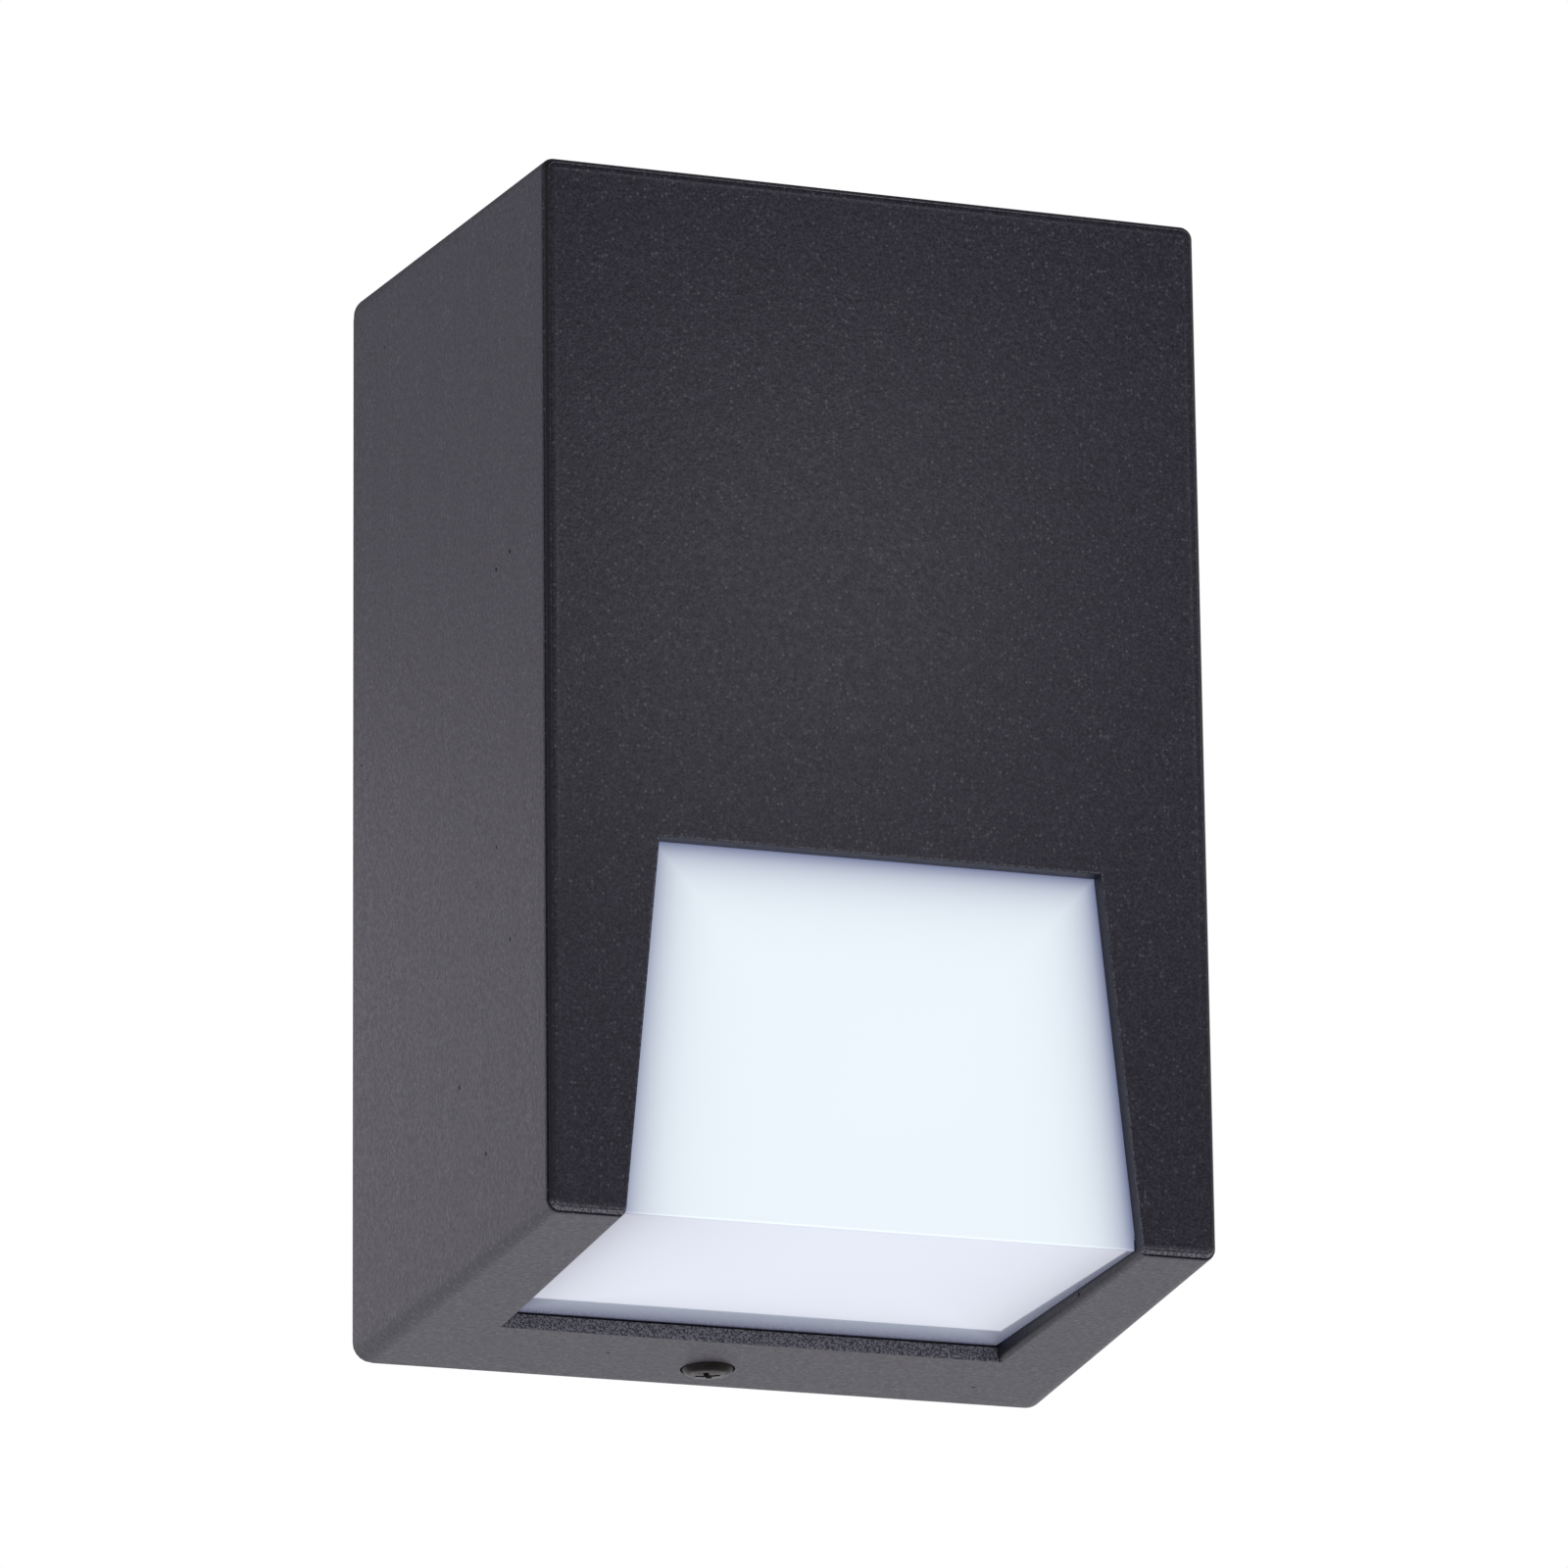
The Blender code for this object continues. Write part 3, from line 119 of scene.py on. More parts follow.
# Securing screw in the floor, in its boss.
SCREW_LOW, SCREW_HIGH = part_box("securing_screw")
SCREW_X = (SCREW_LOW.x + SCREW_HIGH.x) / 2
SCREW_Y = (SCREW_LOW.y + SCREW_HIGH.y) / 2
SCREW_RADIUS = 2.0 * MM
SCREW_HEAD_RADIUS = (SCREW_HIGH.x - SCREW_LOW.x) / 2
SPOT_FACE_DEPTH = 2.2 * MM
SCREW_BOSS_RADIUS = 5.4 * MM
SCREW_BOSS_Z = (-78.9 * MM, -76.2 * MM)
SCREW_BORE_TOP_Z = -73.0 * MM
CROSS_TURN = 28  # degrees by which every cross recess is turned

SIDES = (-1, 1)
SHARP_DEGREES = 35  # an edge with a smaller angle counts as smooth

# The record's material slot and body of each node.
SLOT_OF = {part["node"]: part["material_slot"] for part in frame["record"]["subparts"]}
BODY_OF = {
    node: body
    for body, nodes in frame["record"]["behaviour"]["bodies"].items()
    for node in nodes
}


# ---------------------------------------------------------------- mesh building


def put_quads(bm, pairs):
    """Quads between the two loops of vertices in each pair."""
    for near, far in pairs:
        for i in range(len(near)):
            j = (i + 1) % len(near)
            bm.faces.new((near[i], near[j], far[j], far[i]))


def put_rings(bm, rings, closed):
    """Quads between rings of points. Where closed, the last ring meets the first, else both ends
    are capped."""
    loops = [[bm.verts.new(point) for point in ring] for ring in rings]
    pairs = list(zip(loops, loops[1:] + loops[:1]))
    put_quads(bm, pairs if closed else pairs[:-1])
    if not closed:
        bm.faces.new(loops[0])
        bm.faces.new(loops[-1])
    bmesh.ops.recalc_face_normals(bm, faces=bm.faces)


def put_box(bm, low, high):
    """A box between two corners."""
    low, high = Vector(low), Vector(high)
    matrix = Matrix.Translation((low + high) / 2) @ Matrix.Diagonal((*(high - low), 1.0))
    bmesh.ops.create_cube(bm, size=1.0, matrix=matrix)


def put_rod(bm, start, end, radius, sides=32):
    """A cylinder between two points."""
    start, end = Vector(start), Vector(end)
    turn = (end - start).to_track_quat("Z", "Y").to_matrix().to_4x4()
    bmesh.ops.create_cone(
        bm, cap_ends=True, segments=sides, radius1=radius, radius2=radius,
        depth=(end - start).length, matrix=Matrix.Translation((start + end) / 2) @ turn,
    )


def put_turned(bm, profile, centre, axis, sides=48, closed=False):
    """A turned body. Its profile is (radius, height), and a closed loop where closed is true."""
    turn = Vector(axis).to_track_quat("Z", "Y").to_matrix()
    angles = [2 * math.pi * i / sides for i in range(sides)]
    rings = []
    for radius, height in profile:
        circle = [Vector((radius * math.cos(a), radius * math.sin(a), height)) for a in angles]
        rings.append([Vector(centre) + turn @ point for point in circle])
    put_rings(bm, rings, closed)


def put_prism(bm, outline, low, high, axis):
    """Extrudes an outline along X (the outline is y, z) or along Y (the outline is x, z)."""

    def point(first, second, along):
        return Vector((along, first, second)) if axis == "x" else Vector((first, along, second))

    ends = [[point(a, b, along) for a, b in outline] for along in (low, high)]
    put_rings(bm, ends, closed=False)


def rounded_rectangle(half_x, half_z, radius, steps=12):
    """Points (x, z) round a rectangle with arcs at its corners, anticlockwise."""
    points = []
    for corner, (sx, sz) in enumerate(((1, 1), (-1, 1), (-1, -1), (1, -1))):
        for step in range(steps + 1):
            angle = math.radians(90 * corner + 90 * step / steps)
            points.append((sx * (half_x - radius) + radius * math.cos(angle),
                           sz * (half_z - radius) + radius * math.sin(angle)))
    return points


def new_object(name, build):
    """An object whose mesh is made by a function that is given an empty bmesh."""
    bm = bmesh.new()
    build(bm)
    mesh = bpy.data.meshes.new(name)
    bm.to_mesh(mesh)
    bm.free()
    obj = bpy.data.objects.new(name, mesh)
    bpy.context.scene.collection.objects.link(obj)
    return obj


def apply_modifiers(obj):
    """Bakes an object's modifiers into its mesh and removes the shapes they used."""
    helpers = [m.object for m in obj.modifiers if m.type == "BOOLEAN"]
    graph = bpy.context.evaluated_depsgraph_get()
    mesh = bpy.data.meshes.new_from_object(obj.evaluated_get(graph))
    obj.modifiers.clear()
    obj.data = mesh
    for helper in helpers:
        bpy.data.objects.remove(helper)


def combine(obj, operation, build):
    """Joins a shape to an object or cuts it away, and bakes the result."""
    modifier = obj.modifiers.new(operation.lower(), "BOOLEAN")
    modifier.operation = operation
    modifier.solver = "EXACT"
    modifier.object = new_object(obj.name + "_" + operation.lower(), build)
    apply_modifiers(obj)


def bevel(obj, width, segments, weights=None):
    """Rounds edges: every sharp one, or those that a function of a bmesh edge gives a weight."""
    modifier = obj.modifiers.new("round", "BEVEL")
    modifier.width = width
    modifier.segments = segments
    modifier.miter_outer = "MITER_ARC"
    if weights is None:
        modifier.limit_method = "ANGLE"
        modifier.angle_limit = math.radians(SHARP_DEGREES)
    else:
        modifier.limit_method = "WEIGHT"
        bm = bmesh.new()
        bm.from_mesh(obj.data)
        layer = bm.edges.layers.float.new("bevel_weight_edge")
        for edge in bm.edges:
            edge[layer] = weights(edge)
        bm.to_mesh(obj.data)
        bm.free()
    apply_modifiers(obj)


def smooth(obj, angle=SHARP_DEGREES):
    """Smooth shading that keeps flat faces flat."""
    obj.data.shade_smooth()
    obj.data.set_sharp_from_angle(angle=math.radians(angle))
    modifier = obj.modifiers.new("normals", "WEIGHTED_NORMAL")
    modifier.keep_sharp = True


def paint(obj, slot):
    """Gives an object a slot and its material."""
    obj.data.materials.clear()
    obj.data.materials.append(MATERIALS[slot])


def finish_piece(obj, node):
    """Lets a piece stand for a CAD node, with its body and its slot."""
    paint(obj, SLOT_OF[node])
    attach(obj, BODY_OF[node])
    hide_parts(node)


# ---------------------------------------------------------------- materials


def add(tree, kind, values=None, **settings):
    """A node. A value that is a socket is linked, any other is set on the node's own socket."""
    made = tree.nodes.new(kind)
    for key, value in settings.items():
        setattr(made, key, value)
    for name, value in (values or {}).items():
        if isinstance(value, bpy.types.NodeSocket):
            tree.links.new(value, made.inputs[name])
        else:
            made.inputs[name].default_value = value
    return made


def new_material(name, **constants):
    """A Principled material with its constant values set. Returns it, its tree and its shader."""
    material = bpy.data.materials.new(name)
    material.use_nodes = True
    shader = material.node_tree.nodes["Principled BSDF"]
    for key, value in constants.items():
        shader.inputs[key.replace("_", " ")].default_value = value
    return material, material.node_tree, shader


def place(tree):
    """Where a point is, in metres."""
    return add(tree, "ShaderNodeTexCoord").outputs["Object"]


def axes_of(tree, vector):
    """The x, y and z of a vector."""
    return add(tree, "ShaderNodeSeparateXYZ", {0: vector}).outputs


def facing(tree):
    """The x, y and z of the surface's direction."""
    return axes_of(tree, add(tree, "ShaderNodeTexCoord").outputs["Normal"])


def noise(tree, scale, detail=2.0, roughness=0.5, vector=None):
    values = {
        "Vector": vector or place(tree), "Scale": scale, "Detail": detail, "Roughness": roughness,
    }
    return add(tree, "ShaderNodeTexNoise", values).outputs["Fac"]


def dots(tree, point, scale, channel):
    """Scattered dots: the distance to the nearest one's middle, and a random number for each."""
    cells = add(tree, "ShaderNodeTexVoronoi", {"Vector": point, "Scale": scale}).outputs
    number = add(tree, "ShaderNodeSeparateColor", {0: cells["Color"]}).outputs[channel]
    return cells["Distance"], number


def span(tree, value, low, high, to_low=0.0, to_high=1.0):
    """Maps low..high to to_low..to_high, held at the ends."""
    values = {
        "Value": value, "From Min": low, "From Max": high, "To Min": to_low, "To Max": to_high,
    }
    return add(tree, "ShaderNodeMapRange", values).outputs["Result"]


def calc(tree, operation, first, second=0.0):
    """The outcome of a Math node on one or two values, each a socket or a number."""
    return add(tree, "ShaderNodeMath", {0: first, 1: second}, operation=operation).outputs[0]


def times(tree, first, second):
    return calc(tree, "MULTIPLY", first, second)


def mix(tree, share, first, second):
    """A colour between two; each is a colour socket or an (r, g, b)."""
    first, second = ((*c, 1.0) if isinstance(c, tuple) else c for c in (first, second))
    values = {0: share, 6: first, 7: second}
    return add(tree, "ShaderNodeMix", values, data_type="RGBA").outputs[2]


def bump(tree, shader, height, distance, under=None):
    """Bumps of a height in metres, on top of those under them. Returns the bumped normal."""
    values = {"Height": height, "Distance": distance, "Strength": 1.0}
    if under is not None:
        values["Normal"] = under
    normal = add(tree, "ShaderNodeBump", values).outputs["Normal"]
    tree.links.new(normal, shader.inputs["Normal"])
    return normal


def window_distance(tree):
    """Distance in metres from a point to the nearest edge of the window, positive inside it."""
    x, y, z = axes_of(tree, place(tree))
    half = span(tree, z, -FRONT_HALF[1], WINDOW_TOP_Z, WINDOW_FLOOR_HALF, WINDOW_TOP_HALF)
    across = calc(tree, "SUBTRACT", half, calc(tree, "ABSOLUTE", x))
    above = calc(tree, "SUBTRACT", WINDOW_TOP_Z, z)
    behind = calc(tree, "SUBTRACT", WINDOW_REAR_Y, y)
    return calc(tree, "MINIMUM", calc(tree, "MINIMUM", across, above), behind)


def painted_coat_light(tree, point):
    """Shares from 0 to 1 of three parts of the coated housing, which carry painted light and shade.

    They are painted shade on the sides of the front's edge, a painted highlight on the lips, and
    painted shade on the window's cut walls. The lips are the front's lower edge, the window's edge
    in the front and its rear wall.
    """
    depth = axes_of(tree, point)[1]
    x, y, z = facing(tree)
    edge = times(tree, span(tree, depth, FRONT_Y + 0.03 * MM, FRONT_Y + 0.25 * MM),
                 span(tree, depth, FRONT_Y + 0.85 * MM, FRONT_Y + 0.7 * MM))
    # Painted shade on the upright sides of the front's edge, where the rounding turns away from the
    # light.
    painted_edge_shade = times(tree, edge, span(tree, calc(tree, "ABSOLUTE", x), 0.35, 0.6))
    # Painted highlight on the front's lower edge, as if lit from below.
    lower = times(tree, edge, span(tree, z, -0.02, -0.4))
    # Painted highlight on the front-facing rear wall of the window in the floor.
    rear = times(tree, span(tree, y, -0.4, -0.8),
                 calc(tree, "GREATER_THAN", depth, WINDOW_REAR_Y - 1 * MM))
    away = window_distance(tree)
    # Painted highlight along the window's edge in the front.
    rim = times(tree, span(tree, away, -0.36 * MM, -0.2 * MM, 0.0, 0.6),
                calc(tree, "LESS_THAN", depth, FRONT_Y + 0.4 * MM))
    painted_lip_highlight = calc(tree, "MAXIMUM", calc(tree, "MAXIMUM", lower, rear), rim)
    # Painted shade on the window's cut walls, all but the rear wall.
    painted_wall_shade = times(tree, span(tree, away, -0.1 * MM, -0.03 * MM),
                  calc(tree, "SUBTRACT", 1.0, rear))
    return painted_edge_shade, painted_lip_highlight, painted_wall_shade


def powder_coat():
    """Fine-textured anthracite powder coat: dense grain, lighter flecks, a few pinholes, with
    painted shade on the sides of the front's edge and on the window's cut walls, and a painted
    highlight on the lips.
    """
    material, tree, shader = new_material("anthracite_powder_coat", Metallic=0.0, IOR=1.5)
    point = place(tree)
    cloud = noise(tree, 35.0, 3.0, 0.6, point)
    grain = noise(tree, 2900.0, 2.0, 0.6, point)
    coarse = noise(tree, 1300.0, 1.0, 0.5, point)
    streaks = span(tree, noise(tree, 3200.0, 2.0, 0.6, point), 0.43, 0.6)
    fleck_distance, fleck_number = dots(tree, point, 1900.0, 0)
    flecks = times(tree, span(tree, fleck_number, 0.78, 1.0),
                   span(tree, fleck_distance, 0.55, 0.15))
    pit_distance, pit_number = dots(tree, point, 200.0, 1)
    pits = times(tree, span(tree, pit_distance, 0.085, 0.05),
                 calc(tree, "GREATER_THAN", pit_number, 0.86))
    painted_edge_shade, painted_lip_highlight, painted_wall_shade = painted_coat_light(tree, point)

    base = mix(tree, span(tree, cloud, 0.3, 0.7), (0.0075, 0.0065, 0.0125), (0.009, 0.008, 0.0145))
    # Over the grain and flecks go painted shade on the sides of the front's edge, a streaky painted
    # highlight on the lips, painted shade on the window's cut walls, and then the dark pinholes.
    for share, colour in (
        (span(tree, grain, 0.36, 0.74), (0.048, 0.0425, 0.065)),
        (flecks, (0.1, 0.098, 0.11)),
        (painted_edge_shade, (0.004, 0.004, 0.007)),
        (times(tree, painted_lip_highlight, streaks), (0.18, 0.177, 0.2)),
        (painted_wall_shade, (0.003, 0.003, 0.01)),
        (pits, (0.002, 0.002, 0.002)),
    ):
        base = mix(tree, share, base, colour)
    tree.links.new(base, shader.inputs["Base Color"])
    tree.links.new(span(tree, coarse, 0.3, 0.75, 0.5, 0.4), shader.inputs["Roughness"])
    tree.links.new(span(tree, pits, 0.0, 1.0, 0.5, 0.05), shader.inputs["Specular IOR Level"])
    bumped = bump(tree, shader, coarse, 0.045 * MM)
    bumped = bump(tree, shader, grain, 0.03 * MM, bumped)
    bump(tree, shader, calc(tree, "SUBTRACT", 1.0, pits), 0.15 * MM, bumped)
    return material


def rise(tree, away, reach):
    """Climbs from 0 at the window's edge towards 1 inside it, by two thirds within the reach."""
    fall = calc(tree, "EXPONENT", calc(tree, "DIVIDE", away, -reach))
    return calc(tree, "SUBTRACT", 1.0, fall)


def opal():
    """Glossy opal plastic, lit from behind: brightest in the middle of the window's front. Its
    colour and glow fade to painted shade towards the window's edges, where the housing's walls
    shade it.
    """
    material, tree, shader = new_material(
        "opal_plastic", Metallic=0.0, IOR=1.5, Roughness=0.07, Emission_Strength=1.0,
        Coat_Weight=1.0, Coat_IOR=1.6, Coat_Roughness=0.02,
    )
    away = window_distance(tree)
    edge_shade_near, edge_shade_wide = rise(tree, away, 3.0 * MM), rise(tree, away, 6.5 * MM)
    cloud = span(tree, noise(tree, 30.0, 2.0), 0.3, 0.7)
    base = mix(tree, cloud, (0.36, 0.385, 0.39), (0.38, 0.405, 0.41))
    # Painted shade: the colour turns darker and bluer towards the window's edges.
    base = mix(tree, edge_shade_wide, (0.2, 0.205, 0.26), base)
    tree.links.new(base, shader.inputs["Base Color"])
    # The glow fades to painted shade towards the window's edges, on the front face and on the floor
    # face.
    front_glow = mix(tree, edge_shade_near, (0.12, 0.145, 0.26), (0.68, 0.745, 0.79))
    floor_glow = mix(tree, edge_shade_wide, (0.015, 0.02, 0.06), (0.31, 0.36, 0.46))
    down = span(tree, facing(tree)[2], -0.6, -0.98)
    tree.links.new(mix(tree, down, front_glow, floor_glow), shader.inputs["Emission Color"])
    bump(tree, shader, noise(tree, 2500.0, 1.0), 0.002 * MM)
    return material


def rubber():
    """Matt black rubber with a little dust."""
    material, tree, shader = new_material("black_rubber", IOR=1.5)
    dust = span(tree, noise(tree, 900.0, 4.0, 0.7), 0.4, 0.75)
    base = mix(tree, dust, (0.012, 0.012, 0.012), (0.035, 0.034, 0.032))
    tree.links.new(base, shader.inputs["Base Color"])
    tree.links.new(span(tree, noise(tree, 250.0), 0.3, 0.7, 0.6, 0.85), shader.inputs["Roughness"])
    bump(tree, shader, noise(tree, 2600.0, 2.0), 0.02 * MM)
    return material


def metal(name, dark, light, rough, stretch=(1.0, 1.0, 1.0)):
    """A bare metal with mottled colour and a grain that can be stretched along an axis."""
    material, tree, shader = new_material(name, Metallic=1.0)
    stretched = add(tree, "ShaderNodeMapping", {"Vector": place(tree), "Scale": stretch}).outputs[0]
    streak = noise(tree, 900.0, 3.0, 0.6, stretched)
    cloud = noise(tree, 90.0, 3.0, 0.6)
    shade = span(tree, times(tree, calc(tree, "ADD", streak, cloud), 0.5), 0.35, 0.65)
    roughness = span(tree, streak, 0.3, 0.7, rough * 0.75, rough * 1.3)
    tree.links.new(mix(tree, shade, dark, light), shader.inputs["Base Color"])
    tree.links.new(roughness, shader.inputs["Roughness"])
    bump(tree, shader, streak, 0.006 * MM)
    return material


def plastic(name, dark, light, rough, scale=700.0):
    """Moulded plastic or lacquer with a faint grain."""
    material, tree, shader = new_material(name, IOR=1.5)
    cloud = span(tree, noise(tree, 60.0, 3.0, 0.6), 0.3, 0.7)
    grain = noise(tree, scale, 3.0, 0.6)
    roughness = span(tree, grain, 0.3, 0.7, rough * 0.85, rough * 1.15)
    tree.links.new(mix(tree, cloud, dark, light), shader.inputs["Base Color"])
    tree.links.new(roughness, shader.inputs["Roughness"])
    bump(tree, shader, grain, 0.008 * MM)
    return material


# Darker colour, lighter colour and roughness, then a metal's stretch or a plastic's scale.
METALS = {
    "zinc_plated_steel": ((0.42, 0.43, 0.45), (0.68, 0.69, 0.71), 0.3),
    "plain_aluminium": ((0.6, 0.61, 0.62), (0.76, 0.77, 0.78), 0.32, (1.0, 1.0, 0.06)),
    "dark_screw_steel": ((0.008, 0.007, 0.007), (0.026, 0.022, 0.021), 0.36),
    "brass": ((0.5, 0.36, 0.14), (0.78, 0.6, 0.28), 0.3),
}
PLASTICS = {
    "white_plastic": ((0.74, 0.74, 0.7), (0.82, 0.82, 0.79), 0.42),
    "white_board": ((0.76, 0.78, 0.76), (0.84, 0.86, 0.84), 0.3, 400.0),
    "green_board": ((0.02, 0.15, 0.06), (0.03, 0.22, 0.09), 0.3, 400.0),
    "led_phosphor": ((0.85, 0.66, 0.12), (0.92, 0.76, 0.2), 0.22, 1500.0),
    "transformer_tape": ((0.66, 0.52, 0.06), (0.8, 0.64, 0.12), 0.4),
    "capacitor_sleeve": ((0.03, 0.04, 0.09), (0.05, 0.06, 0.13), 0.25),
    "brown_insulation": ((0.16, 0.07, 0.03), (0.22, 0.1, 0.045), 0.4),
    "blue_insulation": ((0.03, 0.1, 0.4), (0.045, 0.14, 0.5), 0.4),
    "green_insulation": ((0.08, 0.36, 0.08), (0.12, 0.45, 0.12), 0.4),
    "red_insulation": ((0.42, 0.03, 0.025), (0.52, 0.045, 0.035), 0.4),
    "black_insulation": ((0.014, 0.014, 0.014), (0.026, 0.026, 0.026), 0.4),
}
MATERIALS = {  # by slot
    "housing_coating": powder_coat(),
    "opal_diffuser": opal(),
    "black_rubber": rubber(),
    **{name: metal(name, *values) for name, values in METALS.items()},
    **{name: plastic(name, *values) for name, values in PLASTICS.items()},
}


# ---------------------------------------------------------------- CAD nodes that keep their shape


SOFTENED = {  # how far each one's edges are rounded
    "wall_bracket": 0.25 * MM,
    "rear_cover": 0.3 * MM,
    "driver_case": 0.4 * MM,
    "driver_cover": 0.3 * MM,
    "led_tray": 0.25 * MM,
    "reflector": 0.3 * MM,
    "terminal_block": 0.2 * MM,
    "wall_gasket": 0.2 * MM,
}


def paint_cad_nodes():
    """Each node gets the material of its slot, which shows where no piece stands for the node."""
    for name, obj in NODES.items():
        paint(obj, SLOT_OF[name])


def make_softened():
    """Copies of plain-shaped nodes with their edges rounded, which stand for them."""
    for name, width in SOFTENED.items():
        piece = bpy.data.objects.new(name + "_softened", NODES[name].data.copy())
        bpy.context.scene.collection.objects.link(piece)
        bm = bmesh.new()
        bm.from_mesh(piece.data)
        bmesh.ops.remove_doubles(bm, verts=bm.verts, dist=0.002 * MM)
        bm.to_mesh(piece.data)
        bm.free()
        bevel(piece, width, 2)
        smooth(piece)
        finish_piece(piece, name)


# ---------------------------------------------------------------- housing


def outer_half(y):
    """Half width and half height of the housing's outside at a depth."""
    share = (RIM_Y - y) / DEPTH
    return tuple(rim + (front - rim) * share for rim, front in zip(RIM_HALF, FRONT_HALF))


def floor_z(y):
    """Inside of the housing's floor."""
    return -outer_half(y)[1] + SIDE_WALL


def housing_ring(y, inset, half=None):
    """A ring of the housing at a depth, inset from its outside, or of a stated half size."""
    width, height = half or (size - inset for size in outer_half(y))
    share = (RIM_Y - y) / DEPTH
    radius = CORNER_RADIUS[1] + (CORNER_RADIUS[0] - CORNER_RADIUS[1]) * share - inset
    outline = rounded_rectangle(width, height, max(radius, SMALLEST_CORNER))
    return [Vector((x, y, z)) for x, z in outline]


def edge_profile(deep):
    """The front edge as (inset, depth behind the front): a rounding with a groove, a low ridge
    and a fine line, which then runs out on the front."""
    groove, ridge, line = 0.32 * deep * MM, -0.05 * MM, 0.05 * MM
    rounding = [(degrees, 0.0) for degrees in (0, 7, 14, 20)]
    rounding += [(21.5, groove), (34, groove)]
    rounding += [(degrees, 0.0) for degrees in (36, 41, 46, 52)]
    rounding += [(56, ridge), (60, ridge), (64, line), (68, line)]
    rounding += [(degrees, 0.0) for degrees in (72, 81, 90)]
    profile = []
    for degrees, sink in rounding:
        angle, radius = math.radians(degrees), EDGE_RADIUS - sink
        profile.append((EDGE_RADIUS - radius * math.cos(angle),
                        EDGE_RADIUS - radius * math.sin(angle)))
    run_out = ((0.12 * MM, 0.0), (0.3 * MM, 0.05 * MM), (0.55 * MM, 0.04 * MM))
    return profile + [(EDGE_RADIUS + inset, depth) for inset, depth in run_out]


def edge_ring(faint, deep):
    """A ring round the front edge whose groove is faint at the top and deep at the bottom."""
    upper, lower = (housing_ring(FRONT_Y + depth, inset) for inset, depth in (faint, deep))
    return [a.lerp(b, 0.5 - a.z / (2 * FRONT_HALF[1])) for a, b in zip(upper, lower)]


def put_housing_shell(bm):
    """The outside from rim to front, and the inside with its ledge."""
    rings = [housing_ring(RIM_Y - RIM_RADIUS * (1 - math.cos(a)), RIM_RADIUS * (1 - math.sin(a)))
             for a in (math.radians(22.5 * step) for step in range(5))]
    side = np.linspace(RIM_Y - 4 * MM, FRONT_Y + EDGE_RADIUS + 2 * MM, 9)
    rings += [housing_ring(y, 0.0) for y in side]
    rings += [edge_ring(faint, deep) for faint, deep in zip(edge_profile(0.15), edge_profile(1.0))]
    outside = [[bm.verts.new(point) for point in ring] for ring in rings]
    rings = [
        housing_ring(RIM_Y, SIDE_WALL),
        housing_ring(LEDGE_Y[1], SIDE_WALL),
        housing_ring(LEDGE_Y[1], 0.0, LEDGE_HALF),
        housing_ring(LEDGE_Y[0], 0.0, LEDGE_HALF),
        housing_ring(LEDGE_Y[0], SIDE_WALL),
        housing_ring(FRONT_Y + FRONT_WALL, SIDE_WALL),
    ]
    inside = [[bm.verts.new(point) for point in ring] for ring in rings]
    put_quads(bm, [*zip(outside, outside[1:]), (outside[0], inside[0]),
                   *zip(inside, inside[1:])])
    bm.faces.new(outside[-1])
    bm.faces.new(inside[-1])
    bmesh.ops.recalc_face_normals(bm, faces=bm.faces)


def window_ring(y, share=1.0):
    """The window's outline at a depth, its width scaled by a share. It flares as it leaves the
    floor, so the floor's edges are round."""
    floor = -outer_half(max(y, FRONT_Y))[1]
    right = [(WINDOW_TOP_HALF, WINDOW_TOP_Z)]
    for step in range(7):
        angle = math.radians(15 * step)
        right.append((WINDOW_FLOOR_HALF + FLARE_RADIUS * (1 - math.cos(angle)),
                      floor + FLARE_RADIUS * (1 - math.sin(angle))))
    right.append((WINDOW_FLOOR_HALF + FLARE_RADIUS, WINDOW_CUT_Z))
    return [Vector((x * share, y, z)) for x, z in right + [(-x, z) for x, z in reversed(right)]]


def put_window(bm):
    """The window's cutter, which narrows a little towards the rear."""
    rear_share = WINDOW_REAR_HALF / WINDOW_FLOOR_HALF
    put_rings(bm, [window_ring(WINDOW_CUT_Y), window_ring(FRONT_Y),
                   window_ring(WINDOW_REAR_Y, rear_share)], closed=False)


def window_weight(edge):
    """How far an edge of the cut housing is rounded: the window's outer edges most."""
    if len(edge.link_faces) != 2 or edge.calc_face_angle(0.0) < math.radians(50):
        return 0.0
    middle = (edge.verts[0].co + edge.verts[1].co) / 2
    if middle.y > WINDOW_REAR_Y + 1 * MM:
        return 0.0
    in_front = middle.y < FRONT_Y + FRONT_WALL / 2
    in_floor = middle.z < -outer_half(middle.y)[1] + SIDE_WALL / 2
    return 0.6 if in_front or in_floor else 0.3


def put_bosses(bm):
    """Pillars and bosses on the front wall, guide ribs, and the boss round the floor's screw."""
    root_y = FRONT_Y + FRONT_WALL - ROOT
    for side in SIDES:
        for (x, z), end_y, radius, _ in BOSSES:
            put_rod(bm, (side * x, root_y, z), (side * x, end_y, z), radius)
        for near, low_z, high_z in (EAR_RIBS, TONGUE_RIBS):
            low_x, high_x = sorted((side * near, side * (near + RIB_WIDTH)))
            put_box(bm, (low_x, RIB_Y[0], low_z), (high_x, RIB_Y[1], high_z))
    low, high = ((SCREW_X, SCREW_Y, z) for z in SCREW_BOSS_Z)
    put_rod(bm, low, high, SCREW_BOSS_RADIUS)


